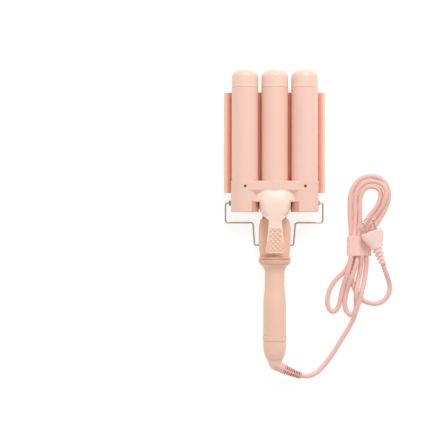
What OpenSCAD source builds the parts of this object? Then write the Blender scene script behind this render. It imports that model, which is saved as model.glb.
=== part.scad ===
// Three-barrel hair waver, lying on its back.
// +X runs across the barrels, +Y towards their tips and +Z up out of the table.

/* [Barrels] */
// Outer diameter of each heated barrel
barrel_d = 33; // [26:0.5:34]
// Wall of the barrel tube
barrel_wall = 1.2; // [0.8:0.1:1.8]
// Space between neighbouring barrels
barrel_gap = 3.6; // [3.3:0.1:6]
// Length of barrel that shows between the front jaw and the tip caps
barrel_show = 114.5; // [80:0.5:160]
// Length of a tip cap that shows
tip_len = 22.8; // [14:0.2:34]
// Depth of the rounded end of a tip cap
tip_dome = 11.4; // [4:0.2:12]
// Bluntness of the cap's end: 2 is an ellipse, more is squarer
tip_blunt = 2.5; // [2:0.1:4]
// Length of the plug that holds a tip cap in its barrel
tip_plug = 8; // [5:0.5:14]
// Wall of a tip cap
tip_wall = 1.6; // [1.2:0.1:2.4]
// Thickness of the ceramic heater strips
heater_t = 2.4; // [1.6:0.1:4]
// Width of the ceramic heater strips
heater_w = 16; // [8:0.5:18]

/* [Wave plate] */
// Overall width of the wave plate
plate_w = 124; // [122.5:0.5:132]
// Length of the wave plate
plate_len = 124.3; // [90:0.5:165]
// Thickness of the plate's sheet
plate_t = 1.5; // [1:0.1:2]
// Radial space between a barrel and the plate when the jaws are shut
plate_space = 0.5; // [0.4:0.1:1.2]
// Radius of the ridges between the barrels, on their upper face
ridge_r = 4; // [3:0.25:6]
// Angle at which the side wings leave the outer troughs
wing_angle = 28; // [22:1:34]

/* [Front jaw] */
// Wall of the sockets around the barrels
socket_wall = 0.8; // [0.7:0.05:1.3]
// Length of the side sockets
socket_len = 38.2; // [32:0.2:50]
// Length of the band that joins the three sockets
band_len = 11; // [8:0.5:12]
// Length of the web between the band and the dome
web_len = 15; // [10:0.5:18]
// Height of the band's flat top over the barrels' axes
band_rise = 16.2; // [8:0.1:16.4]
// Height of the web over the barrels' axes
web_rise = 13.2; // [6:0.1:14]
// Radius of the domed hinge cover
dome_r = 19.4; // [18.5:0.1:20]
// Wall of the domed hinge cover
dome_wall = 2.2; // [1.6:0.1:2.6]
// Reach of the thumb lever behind the hinge
lever_len = 50.5; // [36:0.5:51]
// Width of the lever where it leaves the dome
lever_root_w = 15.4; // [12:0.2:19]
// Width of the lever at its far end
lever_end_w = 24.6; // [18:0.2:25]
// Thickness of the lever
lever_t = 3.2; // [2.4:0.1:4]
// Length of the textured thumb pad
pad_len = 27; // [16:0.5:30]

/* [Hinge] */
// Diameter of the hinge pin
pin_d = 4; // [3:0.1:5]
// Radial running space around moving pins
run = 0.05; // [0.03:0.01:0.1]
// Height of the hinge pin above the table
hinge_z = 22; // [20:0.2:24]
// Thickness of each hinge ear
ear_t = 3.8; // [2.5:0.1:5]
// Outer radius of the hinge ears
ear_r = 5.2; // [4:0.1:6]

/* [Rear jaw] */
// Width of the tray that carries the wave plate
tray_w = 107; // [104:0.5:112]
// Height of the tray
tray_h = 13; // [10:0.2:14]
// Thickness of the tray under the barrels
tray_floor = 5.6; // [4:0.1:8]
// Space between the front jaw and the tray
jaw_space = 0.6; // [0.4:0.1:1]

/* [Handle] */
// Height of the handle's axis above the table
handle_z = 20; // [20:0.2:26]
// Largest radius of the neck
neck_r = 19.7; // [17:0.1:20]
// Length of the neck behind the dome
neck_len = 47.5; // [40:0.5:60]
// Radius of the collar ring
collar_r = 20; // [18:0.1:20]
// Length of the collar ring
collar_len = 9.1; // [6:0.1:14]
// Radius of the handle's waist
waist_r = 12.3; // [11:0.1:13]
// Length of the waist
waist_len = 20; // [10:0.5:30]
// Radius of the grip
grip_r = 14.15; // [13.2:0.05:16]
// Length of the grip
grip_len = 59.1; // [52:0.1:80]
// Wall of the handle shells
shell_wall = 2.2; // [1.6:0.1:2.6]
// Length of the trim ring behind the grip
ring_len = 6.2; // [4:0.1:10]
// How far the trim ring stands out of the grip
ring_step = 0.6; // [0.3:0.1:1.2]
// Length of the end cap
cap_len = 22.8; // [18:0.2:34]
// Radius of the end cap's opening face
cap_end_r = 10.5; // [9.5:0.1:11]

/* [Controls] */
// Diameter of the power button
power_d = 8; // [6:0.2:9]
// Diameter of the two heat buttons
heat_d = 6; // [4:0.2:7]
// Distance between button centres
key_pitch = 12; // [10:0.5:15]
// Travel of every button
key_travel = 0.6; // [0.3:0.1:0.8]
// Radial space around a button
key_space = 0.2; // [0.1:0.05:0.4]
// Length of the temperature window
window_len = 14; // [8:0.5:18]
// Width of the temperature window
window_w = 8; // [5:0.5:10]
// Thickness of the flat panel around the buttons
panel_t = 1.8; // [1.2:0.1:2.4]
// Thickness of the circuit board
board_t = 1.6; // [0.8:0.1:2]

/* [Stand] */
// Diameter of the stand's wire
wire_d = 2.2; // [1.6:0.1:2.4]
// Space from the tray's side to the middle of an outer leg
stand_side = 7.1; // [6:0.1:9]
// Distance between the stand's inner legs
foot_w = 52.8; // [47:0.2:70]
// Distance from the stand's pivot to its crossing run
stand_drop = 24.5; // [22:0.5:32]
// Distance from the crossing run to the foot
foot_drop = 28; // [15:0.5:30]
// Radius of the wire's bends, at its middle
wire_bend = 2.6; // [2.4:0.1:2.7]
// Height of the stand's pivot
stand_z = 6; // [5:0.1:7]
// Tilt of the folded stand
stand_tilt = 4.9; // [4:0.1:5.2]

/* [Cord] */
// Diameter of the mains lead
cord_d = 6; // [5:0.1:7]
// Radius of the swivel's ball
ball_r = 9.8; // [8.5:0.1:10.4]
// Radius of the swivel's neck inside the end cap
swivel_r = 6; // [4:0.1:7]
// Number of ribs on the strain relief
ribs = 7; // [5:1:9]
// Width of the plug at its face
plug_w = 28; // [24:0.5:30]
// Thickness of the plug
plug_t = 13; // [11:0.5:16]
// Length of the plug's body
plug_len = 22; // [18:0.5:28]
// Width of the cord tie
tie_w = 24.5; // [12:0.5:26]

/* [Hidden] */

fine = 64;
soft = 32;
fit = 0.1;
seam = 0.05;
past = 1;

// Heights, and the distance between neighbouring barrel axes
barrel_r = barrel_d / 2;
barrel_pitch = barrel_d + barrel_gap;
trough_r = barrel_r + plate_space;
sheet_r = trough_r + plate_t;
barrel_z = tray_floor + fit + sheet_r;
ridge_z = barrel_z - sqrt(pow(trough_r + ridge_r, 2) - pow(barrel_pitch / 2, 2));
ridge_top = ridge_z + ridge_r;
socket_bore = barrel_r + 0.05;
socket_r = socket_bore + socket_wall;
split_z = ridge_top + 2.7;

// Places along the part, with 0 halfway between the barrel tips and the end cap
hinge_y = 3;
socket_y0 = hinge_y;
socket_y1 = socket_y0 + socket_len;
band_y0 = socket_y1 - band_len;
web_y0 = band_y0 - web_len;
seam_y = socket_y1 + barrel_show;
dome_y = hinge_y + 8;
dome_z = barrel_z + 2;
dome_cut = hinge_z - 5;
tray_y0 = socket_y0 + 4;
plate_y0 = socket_y1 - 14.7;
plate_y1 = plate_y0 + plate_len;
side_bore_y = socket_y0 + 5;
middle_bore_y = dome_y + dome_r + 0.6;
neck_y0 = hinge_y - 7.3;
neck_y1 = neck_y0 - neck_len;
collar_y1 = neck_y1 - collar_len;
shoulder_y1 = collar_y1 - 9.5;
waist_y1 = shoulder_y1 - waist_len;
grip_y1 = waist_y1 - grip_len;
ring_y1 = grip_y1 - ring_len;
cap_y1 = ring_y1 - cap_len;

// Neck, collar and channel under the lever
neck_bottom = 3.8;
neck_top = handle_z + 9;
channel_floor = handle_z + 6;
channel_w = lever_end_w + 2.6;
tongue_w = 30;
tongue_top = hinge_z - 7;

// Lever
lever_z = dome_z + 14.6;
lever_y1 = hinge_y - lever_len;
pad_w = lever_root_w - 1.6;
pad_inset = 1.2;
pad_y0 = lever_y1 + 4.5;

// Hinge ears stand inside, lugs of the dome outside them
ear_x = 8.4;
lug_x = ear_x + ear_t + 0.4;
lug_t = 2;
pin_len = 2 * (lug_x + lug_t - 0.2);

// Stand
stand_w = tray_w + 2 * stand_side;
stand_y = hinge_y + 11.3;
boss_r = wire_d / 2 + 2.1;
boss_x = stand_w / 2 - wire_bend - 1.6;

// Controls, on the back of the grip
board_w = 2 * (waist_r - shell_wall - 1.1);
board_z = handle_z - 4;
screw_ys = [collar_y1 - 16, grip_y1 + 5];
boss_rad = 3.2;
key_flange = 0.4;
key_gap = 0.2;
cooler_y = screw_ys[1] + boss_rad + key_gap + key_flange + heat_d / 2;
warmer_y = cooler_y + key_pitch;
power_y = warmer_y + key_pitch;
window_y = power_y + key_pitch / 2 + window_len / 2 + 1;
board_y0 = cooler_y - 3.2;
board_y1 = window_y + window_len / 2 + 3;
panel_z = handle_z - grip_r + 1.2;
panel_y0 = cooler_y - heat_d / 2 - 3;
panel_y1 = window_y + window_len / 2 + 3;
key_out = 0.9;
switch_t = 2;

// Cord: swivel, strain relief, and the routes of the free stretches
ball = [0, cap_y1 - 6, handle_z];
relief_a = [7.6, ball[1] - 5, handle_z - 1.5];
relief_b = [32, ball[1] - 14.9, 12.5];
lead_route = [[32, -199.4, 12.5], [38.5, -201.4, 10.2], [45.3, -201.4, 7.4], [52, -198.8, 5],
    [59, -192.8, 3.4], [66, -185.4, 3], [72, -177.7, 3], [77.2, -170, 3], [83.4, -159.6, 3],
    [89.6, -150, 3], [95.6, -140.6, 3], [100, -132, 3], [102.5, -125, 3]];
tail_route = [[134.6, -61.9, 13.9], [138, -70.3, 12.4], [141.8, -78, 9.6], [145.2, -86, 6.3],
    [146.4, -94.4, 3.9], [144.4, -102.6, 3], [138.8, -108.8, 3], [131, -112, 3], [122.4, -112.6, 3],
    [114, -111.4, 3], [108, -110, 3]];
hank_h = 7;
hank_neck = [93, 117.5];
tie_y = [-51.5, -51.5 + tie_w];
tie_wall = 1.3;
tie_top = 11;
plug_at = [119.7, -20.6, 15.7];
plug_yaw = 20.2;
plug_pitch = 2.5;

function arc(c, r, a0, a1, n) = [for (i = [0:n]) let(a = a0 + (a1 - a0) * i / n) c + r * [cos(a), sin(a)]];
function mirrored(p) = [for (i = [len(p) - 1:-1:0]) [-p[i][0], p[i][1]]];
function unit(v) = v / norm(v);

// Right half of the wave plate's section, as a line "out" below its upper face
function wave_half(out) =
    let(
        ridge_x = barrel_pitch / 2,
        meet = atan2(ridge_x, barrel_z - ridge_z),
        roll_r = 2.2,
        edge_x = plate_w / 2 - 1.6,
        start = [barrel_pitch + trough_r * sin(wing_angle), barrel_z - trough_r * cos(wing_angle)],
        run_x = edge_x - roll_r * sin(wing_angle) - start[0],
        crest = start + run_x * [1, tan(wing_angle)],
        roll = crest + roll_r * [sin(wing_angle), -cos(wing_angle)]
    )
    concat(
        arc([0, barrel_z], trough_r + out, -90, -90 + meet, 8),
        arc([ridge_x, ridge_z], ridge_r - out, 90 + meet, 90 - meet, 8),
        arc([barrel_pitch, barrel_z], trough_r + out, -90 - meet, -90 + wing_angle, 12),
        arc(roll, roll_r - out, 90 + wing_angle, 0, 5)
    );

function wave_line(out) = concat(mirrored(wave_half(out)), [for (p = wave_half(out)) p]);

// ---- helpers ----

// A cylinder along Y, from y0 to y1
module bar_y(r, y0, y1, x = 0, z = 0, r2 = -1) {
    translate([x, y0, z]) rotate([-90, 0, 0])
        cylinder(h = y1 - y0, r1 = r, r2 = r2 < 0 ? r : r2, $fn = fine);
}

// A cylinder along X, from x0 to x1
module bar_x(r, x0, x1, y, z) {
    translate([x0, y, z]) rotate([0, 90, 0]) cylinder(h = x1 - x0, r = r, $fn = fine);
}

// A box given by its lowest and highest corners
module block(a, b) {
    translate(a) cube(b - a);
}

// A section in X and Z, carried along Y from y0 to y1
module carried(y0, y1) {
    translate([0, y1, 0]) rotate([90, 0, 0]) linear_extrude(height = y1 - y0) children();
}

// A profile of [radius, y] points turned about the handle's axis
module turned(profile) {
    translate([0, 0, handle_z]) rotate([-90, 0, 0]) rotate_extrude($fn = fine) polygon(profile);
}

// Places its children at p, with their Z pointing to q
module towards(p, q) {
    d = q - p;
    translate(p) rotate([0, acos(d[2] / norm(d)), atan2(d[1], d[0])]) children();
}

// A tube swept along a route that never runs upright
module swept(route, r, sides = 10) {
    n = len(route);
    ring = [for (i = [0:n - 1])
        let(
            t = unit(route[min(i + 1, n - 1)] - route[max(i - 1, 0)]),
            u = unit(cross([0, 0, 1], t)),
            v = cross(t, u)
        )
        [for (k = [0:sides - 1]) let(a = 360 * (k + 0.5) / sides)
            route[i] + r * (u * cos(a) + v * sin(a))]];
    side = [for (i = [0:n - 2], k = [0:sides - 1])
        let(m = (k + 1) % sides, here = i * sides, next = here + sides)
        each [[here + k, next + k, next + m], [here + k, next + m, here + m]]];
    first = [for (k = [0:sides - 1]) k];
    last = [for (k = [sides - 1:-1:0]) (n - 1) * sides + k];
    polyhedron(points = [for (q = ring, p = q) p], faces = concat(side, [first], [last]), convexity = 6);
}

// ---- rear jaw and neck: the fixed side of the hinge ----

neck_line = [[neck_r - 3.1, neck_y0], [neck_r - 1, neck_y0 - 6], [neck_r, neck_y0 - 14],
    [neck_r, neck_y0 - 33], [neck_r - 0.8, neck_y0 - 40], [neck_r - 1.6, neck_y1]];

// The neck's outline, less "wall" on every side
module neck_form(wall) {
    line = [for (p = neck_line) [p[0] - wall, p[1]]];
    ends = wall > 0 ? past : 0;
    difference() {
        intersection() {
            turned(concat([[0, neck_y1 - ends], [line[5][0], neck_y1 - ends]],
                [for (i = [5:-1:0]) line[i]], [[line[0][0], neck_y0 + ends], [0, neck_y0 + ends]]));
            block([-40, neck_y1 - 2, neck_bottom + wall], [40, neck_y0 + 2, neck_top - wall]);
        }
        block([-channel_w / 2 - wall, neck_y1 + (wall > 0 ? -2 : 1.5), channel_floor - wall],
            [channel_w / 2 + wall, neck_y0 + 2, neck_top + past]);
    }
}

module neck_shell() {
    difference() {
        neck_form(0);
        neck_form(shell_wall);
    }
}

module rear_housing() {
    color("tan") {
        difference() {
            union() {
                intersection() {
                    neck_shell();
                    block([-40, neck_y1 - past, 0], [40, neck_y0 + past, handle_z - seam]);
                }
                block([-tongue_w / 2, neck_y0 - 0.5, neck_bottom],
                    [tongue_w / 2, tray_y0 + past, tongue_top]);
            }
            block([-6, neck_y0 - 3, neck_bottom + 3], [6, tray_y0 + 3, tongue_top + past]);
        }
        difference() {
            union() {
                carried(tray_y0, socket_y1) tray_section();
                bar_x(boss_r, tray_w / 2 - 4, boss_x, stand_y, stand_z);
                bar_x(boss_r, -boss_x, -tray_w / 2 + 4, stand_y, stand_z);
            }
            for (i = [-1:1])
                bar_y(socket_r + jaw_space, tray_y0 - past, plate_y0 + 0.2, i * barrel_pitch, barrel_z);
            carried(plate_y0 - fit, socket_y1 + past) plate_clearance();
            block([-6, tray_y0 - past, neck_bottom + 3], [6, tray_y0 + 8, tray_h + past]);
            for (s = [-1, 1]) bar_x(wire_d / 2 + run, s > 0 ? tray_w / 2 - 5 : -boss_x - past,
                s > 0 ? boss_x + past : -tray_w / 2 + 5, stand_y, stand_z);
            for (x = plate_screw_xs) translate([x, plate_screw_y, -past])
                cylinder(h = tray_h + 2 * past, r = 1.3, $fn = soft);
            for (x = plate_screw_xs) translate([x, plate_screw_y, -past])
                cylinder(h = past + 2, r = 2.7, $fn = soft);
        }
        for (x0 = [-ear_x - ear_t, ear_x]) difference() {
            union() {
                bar_x(ear_r, x0, x0 + ear_t, hinge_y, hinge_z);
                block([x0, hinge_y - ear_r, tongue_top - 1], [x0 + ear_t, hinge_y + ear_r - 1.2, hinge_z]);
            }
            bar_x(pin_d / 2 + 0.03, -30, 30, hinge_y, hinge_z);
        }
    }
}

plate_screw_xs = [-barrel_pitch / 2, barrel_pitch / 2];
plate_screw_y = plate_y0 + 7;

// The tray's section: a bar with rounded lower corners
module tray_section() {
    r = 5;
    union() {
        translate([-tray_w / 2, r]) square([tray_w, tray_h - r]);
        translate([-tray_w / 2 + r, 0]) square([tray_w - 2 * r, r + 0.01]);
        for (s = [-1, 1]) translate([s * (tray_w / 2 - r), r]) circle(r = r, $fn = fine);
    }
}

// What the tray leaves free for the wave plate
module plate_clearance() {
    line = wave_line(plate_t + fit);
    last = line[len(line) - 1];
    polygon(concat(line, [[plate_w, last[1]], [plate_w, 60], [-plate_w, 60], [-plate_w, line[0][1]]]));
}

module wave_plate() {
    color([0.86, 0.6, 0.53]) difference() {
        under = wave_line(plate_t);
        carried(plate_y0, plate_y1)
            polygon(concat(wave_line(0), [for (i = [len(under) - 1:-1:0]) under[i]]));
        for (x = plate_screw_xs) translate([x, plate_screw_y, 0]) cylinder(h = 30, r = 1.3, $fn = soft);
    }
}

module plate_screws() {
    color("silver") for (x = plate_screw_xs) translate([x, plate_screw_y, 0]) {
        translate([0, 0, 0.3]) cylinder(h = 1.6, r = 2.5, $fn = soft);
        translate([0, 0, 0.3]) cylinder(h = ridge_top - 0.3 + 0.8, r = 1.2, $fn = soft);
        translate([0, 0, ridge_top + 0.05]) cylinder(h = 1.2, r = 2.2, $fn = soft);
    }
}

module hinge_pin() {
    color("silver") bar_x(pin_d / 2, -pin_len / 2, pin_len / 2, hinge_y, hinge_z);
}

// Torsion spring: close coils round the pin, one leg down on the tongue, one up under the dome
module return_spring() {
    wire = 1.2;
    coil_r = pin_d / 2 + 0.3 + wire / 2;
    coils = 9;
    color("silver") {
        for (i = [0:coils - 1]) translate([(i - (coils - 1) / 2) * wire * 0.96, hinge_y, hinge_z])
            rotate([0, 90, 0]) rotate_extrude($fn = soft) translate([coil_r, 0]) circle(d = wire, $fn = 16);
        for (s = [-1, 1]) towards([s * 4.5, hinge_y + coil_r, hinge_z],
            s > 0 ? [4.5, hinge_y + 12, hinge_z + 12] : [-4.5, hinge_y + 9, neck_bottom + 4])
            cylinder(h = s > 0 ? 14 : 12, d = wire, $fn = 16);
    }
}

module neck_cover() {
    color("tan") intersection() {
        neck_shell();
        block([-40, neck_y1 - past, handle_z + seam], [40, neck_y0 + past, 60]);
    }
}

// ---- handle ----

module collar_ring() {
    r = collar_r;
    color([0.94, 0.78, 0.69])
        turned([[neck_r - 4.2, neck_y1 - fit], [r - 0.7, neck_y1 - fit], [r, neck_y1 - 1.4],
            [r, neck_y1 - collar_len / 2], [r - 0.5, collar_y1 + 1.5], [r - 1.6, collar_y1],
            [waist_r - 0.5, collar_y1], [waist_r - 0.5, neck_y1 - 4], [neck_r - 4.2, neck_y1 - 4]]);
}

shoulder_drop = collar_r - 1.8 - waist_r;
grip_line = [[collar_r - 1.8, collar_y1 - fit], [waist_r + shoulder_drop * 0.58, collar_y1 - 2.5],
    [waist_r + shoulder_drop * 0.24, collar_y1 - 5.5], [waist_r, shoulder_y1], [waist_r, waist_y1],
    [waist_r + (grip_r - waist_r) * 0.35, waist_y1 - 4], [waist_r + (grip_r - waist_r) * 0.7, waist_y1 - 12],
    [grip_r, waist_y1 - 22], [grip_r, grip_y1 + fit]];

module grip_solid() {
    n = len(grip_line);
    turned(concat([[0, grip_line[0][1]]], grip_line, [[0, grip_line[n - 1][1]]]));
}

module grip_hollow() {
    n = len(grip_line);
    line = [for (p = grip_line) [min(p[0], grip_r) - shell_wall, p[1]]];
    turned(concat([[0, line[0][1] + past], [line[0][0], line[0][1] + past]], line,
        [[line[n - 1][0], line[n - 1][1] - past], [0, line[n - 1][1] - past]]));
}

// The grip's wall with its screw bosses and the flat panel around the buttons
module grip_wall() {
    difference() {
        grip_solid();
        difference() {
            grip_hollow();
            for (y = screw_ys) translate([0, y, -past]) cylinder(h = 80, r = boss_rad, $fn = soft);
            block([-30, panel_y0, 0], [30, panel_y1, panel_z + panel_t]);
        }
    }
}

module grip_front() {
    color([0.94, 0.77, 0.67]) difference() {
        grip_wall();
        block([-40, grip_y1 - past, 0], [40, collar_y1 + past, handle_z + seam]);
        for (y = screw_ys) translate([0, y, 0]) cylinder(h = handle_z + waist_r - 3.5, r = 1.1, $fn = soft);
    }
}

module grip_back() {
    color([0.94, 0.77, 0.67]) difference() {
        intersection() {
            grip_wall();
            block([-40, grip_y1 - past, 0], [40, collar_y1 + past, handle_z - seam]);
        }
        for (y = screw_ys) {
            translate([0, y, 0]) cylinder(h = 60, r = 1.3, $fn = soft);
            translate([0, y, 0]) cylinder(h = handle_z - waist_r + 2.4, r = 2.6, $fn = soft);
        }
        translate([0, power_y, 0]) cylinder(h = board_z - 2, r = power_d / 2 + key_space, $fn = fine);
        for (y = [warmer_y, cooler_y]) translate([0, y, 0])
            cylinder(h = board_z - 2, r = heat_d / 2 + key_space, $fn = fine);
        block([-window_w / 2 - fit, window_y - window_len / 2 - fit, 0],
            [window_w / 2 + fit, window_y + window_len / 2 + fit, board_z - 2]);
        block([-30, panel_y0, 0], [30, panel_y1, panel_z]);
    }
}

module grip_screws() {
    color("silver") for (y = screw_ys) translate([0, y, handle_z - waist_r + 0.6]) {
        cylinder(h = 1.7, r = 2.4, $fn = soft);
        cylinder(h = 2 * waist_r - 6, r = 1, $fn = soft);
    }
}

module trim_ring() {
    r = grip_r + ring_step;
    color([0.95, 0.79, 0.7]) turned([[waist_r - 2, grip_y1], [r - 0.3, grip_y1], [r, grip_y1 - 0.4],
        [r, ring_y1 + 0.4], [r - 0.3, ring_y1], [waist_r - 2, ring_y1]]);
}

module end_cap() {
    wall = shell_wall;
    run_y = cap_y1 + 2.5;
    color([0.94, 0.77, 0.67]) difference() {
        turned([[0, ring_y1 - fit], [grip_r, ring_y1 - fit], [grip_r, cap_y1 + cap_len * 0.5],
            [grip_r - 0.4, cap_y1 + cap_len * 0.32], [grip_r - 1.3, cap_y1 + 4.3],
            [cap_end_r + 0.6, cap_y1 + 0.8], [cap_end_r, cap_y1], [0, cap_y1]]);
        turned([[0, ring_y1 + past], [grip_r - wall, ring_y1 + past], [grip_r - wall, cap_y1 + cap_len * 0.5],
            [swivel_r + 2.6, run_y + 2], [swivel_r + 2.6, run_y], [0, run_y]]);
        bar_y(swivel_r + run, cap_y1 - past, run_y + past, 0, handle_z);
    }
}

// Snap washer that keeps the swivel in the end cap
module swivel_retainer() {
    inner = cap_y1 + 2.5;
    color("gray") difference() {
        bar_y(swivel_r + 2.4, inner + 0.1, inner + 1.3, 0, handle_z);
        bar_y(swivel_r - 0.95, inner - past, inner + 3, 0, handle_z);
    }
}

// ---- electrics in the handle ----

module circuit_board() {
    color("darkgreen") difference() {
        block([-board_w / 2, board_y0, board_z], [board_w / 2, board_y1, board_z + board_t]);
        translate([0, board_y1 - 1, board_z - past]) cylinder(h = board_t + 2 * past, r = 1.2, $fn = soft);
    }
}

module key_switches() {
    color("dimgray") for (y = [power_y, warmer_y, cooler_y])
        translate([-2.5, y - 2.5, board_z - 0.05 - switch_t]) cube([5, 5, switch_t]);
}

module temperature_display() {
    color("black") block([-window_w / 2 + 0.4, window_y - window_len / 2 + 0.6, board_z - 4.4],
        [window_w / 2 - 0.4, window_y + window_len / 2 - 0.6, board_z - 0.05]);
}

module display_window() {
    color("dimgray") block([-window_w / 2, window_y - window_len / 2, panel_z],
        [window_w / 2, window_y + window_len / 2, panel_z + panel_t]);
}

// A button: its cap stands out of the grip's back, its stem reaches a switch
module key(y, d) {
    top = board_z - 0.05 - switch_t - key_travel - 0.05;
    translate([0, y, panel_z - key_out]) cylinder(h = top - panel_z + key_out, d = d, $fn = fine);
    translate([0, y, panel_z + panel_t + 0.05])
        cylinder(h = top - panel_z - panel_t - 0.05, r = d / 2 + key_flange, $fn = fine);
}

module power_button() {
    color("gray") key(power_y, power_d);
}

module warmer_button() {
    color("gray") key(warmer_y, heat_d);
}

module cooler_button() {
    color("gray") key(cooler_y, heat_d);
}

supply_route = [[0, ring_y1 - 4, handle_z + 3], [0.6, ring_y1 + 3, handle_z + 3.4],
    [4.9, grip_y1 + 0.6, handle_z + 3.4], [4.9, grip_y1 + 7, handle_z + 2],
    [4.4, board_y0 + 3, board_z + board_t + 1.3], [4.4, board_y0 + 9, board_z + board_t + 1.3]];
heater_route = [[0, board_y1 - 10, board_z + board_t + 1.3], [0, board_y1 - 4, board_z + board_t + 1.5],
    [5.4, screw_ys[0] - 4, handle_z - 1], [5.4, screw_ys[0] + 4, handle_z - 1],
    [0, collar_y1 + 2, handle_z - 2], [0, neck_y1 + 12, handle_z - 6], [0, neck_y0 - 12, handle_z - 10],
    [0, neck_y0 - 2, neck_bottom + 4.8], [0, hinge_y, neck_bottom + 4.8], [0, hinge_y + 8, neck_bottom + 5.5],
    [0, hinge_y + 15, neck_bottom + 12]];

module supply_wires() {
    color("black") swept(supply_route, 1.2, 8);
}

module heater_wires() {
    color("white") swept(heater_route, 1.2, 8);
}

// ---- front jaw: sockets, dome and lever ----

// Everything the front jaw's housing keeps clear of
module jaw_cuts() {
    for (i = [-1, 1]) bar_y(socket_bore, side_bore_y, socket_y1 + past, i * barrel_pitch, barrel_z);
    bar_y(socket_bore, middle_bore_y, socket_y1 + past, 0, barrel_z);
    translate([0, dome_y, dome_z]) sphere(r = dome_r + fit, $fn = fine);
    block([-60, plate_y0 - 0.8, 0], [60, socket_y1 + past, split_z]);
    block([-dome_r, socket_y0 - past, 0], [dome_r, dome_y + 4, 60]);
}

module socket_bodies() {
    for (s = [-1, 1]) {
        bar_y(socket_r, socket_y0 + 1.2, socket_y1, s * barrel_pitch, barrel_z);
        bar_y(socket_r - 1.2, socket_y0, socket_y0 + 1.2, s * barrel_pitch, barrel_z, socket_r);
    }
    bar_y(socket_r, web_y0 + 8, socket_y1, 0, barrel_z);
}

module front_housing() {
    color([0.95, 0.79, 0.72]) difference() {
        union() {
            intersection() {
                socket_bodies();
                block([-80, socket_y0 - past, split_z], [80, socket_y1, 60]);
            }
            block([-barrel_pitch, band_y0, split_z], [barrel_pitch, socket_y1, barrel_z + band_rise]);
            block([-barrel_pitch, web_y0, split_z], [barrel_pitch, band_y0 + past, barrel_z + web_rise]);
        }
        jaw_cuts();
        for (s = [-1, 1]) translate([s * barrel_pitch, barrel_screw_y, barrel_z])
            cylinder(h = 40, r = 1.6, $fn = soft);
        for (s = [-1, 1]) translate([s * barrel_pitch, base_screw_y, 0])
            cylinder(h = split_z + 0.01, r = 1, $fn = soft);
    }
}

barrel_screw_y = socket_y1 - 6.7;
base_screw_y = socket_y0 + 2.4;

// Lower half of one side socket
module socket_base(side) {
    near = side > 0 ? barrel_pitch - 20 : -barrel_pitch - 20;
    color([0.95, 0.79, 0.72]) difference() {
        intersection() {
            socket_bodies();
            block([near, socket_y0 - past, 0], [near + 40, plate_y0 - 0.8, split_z - seam]);
        }
        jaw_cuts();
        translate([side * barrel_pitch, base_screw_y, 0]) {
            cylinder(h = 60, r = 1.2, $fn = soft);
            cylinder(h = split_z - 5, r = 2.3, $fn = soft);
        }
    }
}

module socket_base_left() {
    socket_base(-1);
}

module socket_base_right() {
    socket_base(1);
}

module base_screws() {
    color("silver") for (s = [-1, 1]) translate([s * barrel_pitch, base_screw_y, split_z - 5]) {
        translate([0, 0, -1.4]) cylinder(h = 1.4, r = 2.1, $fn = soft);
        cylinder(h = 4.8, r = 0.95, $fn = soft);
    }
}

module lever() {
    a = lever_root_w / 2;
    b = lever_end_w / 2;
    y0 = dome_y - 6;
    y1 = lever_y1;
    right = [[a - 2, y0], [a, y0 - 10], [a + 0.6, y0 - 22], [b - 1.4, y1 + 15], [b, y1 + 6], [b, y1 + 3],
        [b - 1, y1 + 1], [b - 3, y1]];
    color([0.98, 0.86, 0.78]) difference() {
        union() {
            difference() {
                translate([0, dome_y, dome_z]) sphere(r = dome_r, $fn = fine);
                translate([0, dome_y, dome_z]) sphere(r = dome_r - dome_wall, $fn = fine);
            }
            intersection() {
                for (s = [-1, 1]) union() {
                    x0 = s > 0 ? lug_x : -lug_x - 4;
                    bar_x(ear_r, x0, x0 + 4, hinge_y, hinge_z);
                    block([x0, hinge_y - ear_r, hinge_z], [x0 + 4, hinge_y + ear_r, dome_z + 14]);
                }
                translate([0, dome_y, dome_z]) sphere(r = dome_r - dome_wall / 2, $fn = fine);
            }
            translate([0, 0, lever_z]) linear_extrude(height = lever_t)
                polygon(concat(right, [for (i = [len(right) - 1:-1:0]) [-right[i][0], right[i][1]]]));
            for (s = [-1, 1]) translate([s > 0 ? b - 1.2 : -b, y1 + 3, lever_z - 3]) cube([1.2, 12, 3.1]);
        }
        block([-40, -80, 0], [40, 60, dome_cut]);
        block([-40, dome_y - dome_r - past, 0], [40, hinge_y - 5, lever_z - 6]);
        block([0.1 - lug_x, -40, 0], [lug_x - 0.1, hinge_y, hinge_z + ear_r + 1.5]);
        bar_x(pin_d / 2 + run, -lug_x - lug_t, lug_x + lug_t, hinge_y, hinge_z);
        bar_y(barrel_r + 0.4, middle_bore_y - 0.4, 60, 0, barrel_z);
        translate([0, 0, lever_z + lever_t - 0.6]) linear_extrude(height = past) pad_outline(0);
    }
}

module pad_outline(inset) {
    a = pad_w / 2 - inset;
    b = lever_end_w / 2 - pad_inset - 1.4 - inset;
    y0 = pad_y0 + inset;
    y1 = pad_y0 + pad_len - inset;
    polygon([[-a + 1.5, y1], [-a, y1 - 2], [-b, y0 + 2], [-b + 2, y0], [b - 2, y0], [b, y0 + 2],
        [a, y1 - 2], [a - 1.5, y1]]);
}

// Soft insert with rows of raised dots
module thumb_pad() {
    rows = floor(pad_len / 3.2);
    color([0.93, 0.78, 0.7]) {
        translate([0, 0, lever_z + lever_t - 0.6]) linear_extrude(height = 0.9) pad_outline(0.1);
        for (i = [1:rows - 1], j = [-1:1]) translate([j * 4, pad_y0 + i * 3.2, lever_z + lever_t + 0.3])
            cylinder(h = 0.3, d = 1.8, $fn = 16);
    }
}

// ---- barrels ----

module tube(x, y0) {
    difference() {
        bar_y(barrel_r, y0, seam_y, x, barrel_z);
        bar_y(barrel_r - barrel_wall, y0 - past, seam_y + past, x, barrel_z);
        if (x != 0) translate([x, barrel_screw_y, barrel_z]) cylinder(h = 40, r = 1.1, $fn = soft);
    }
}

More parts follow.
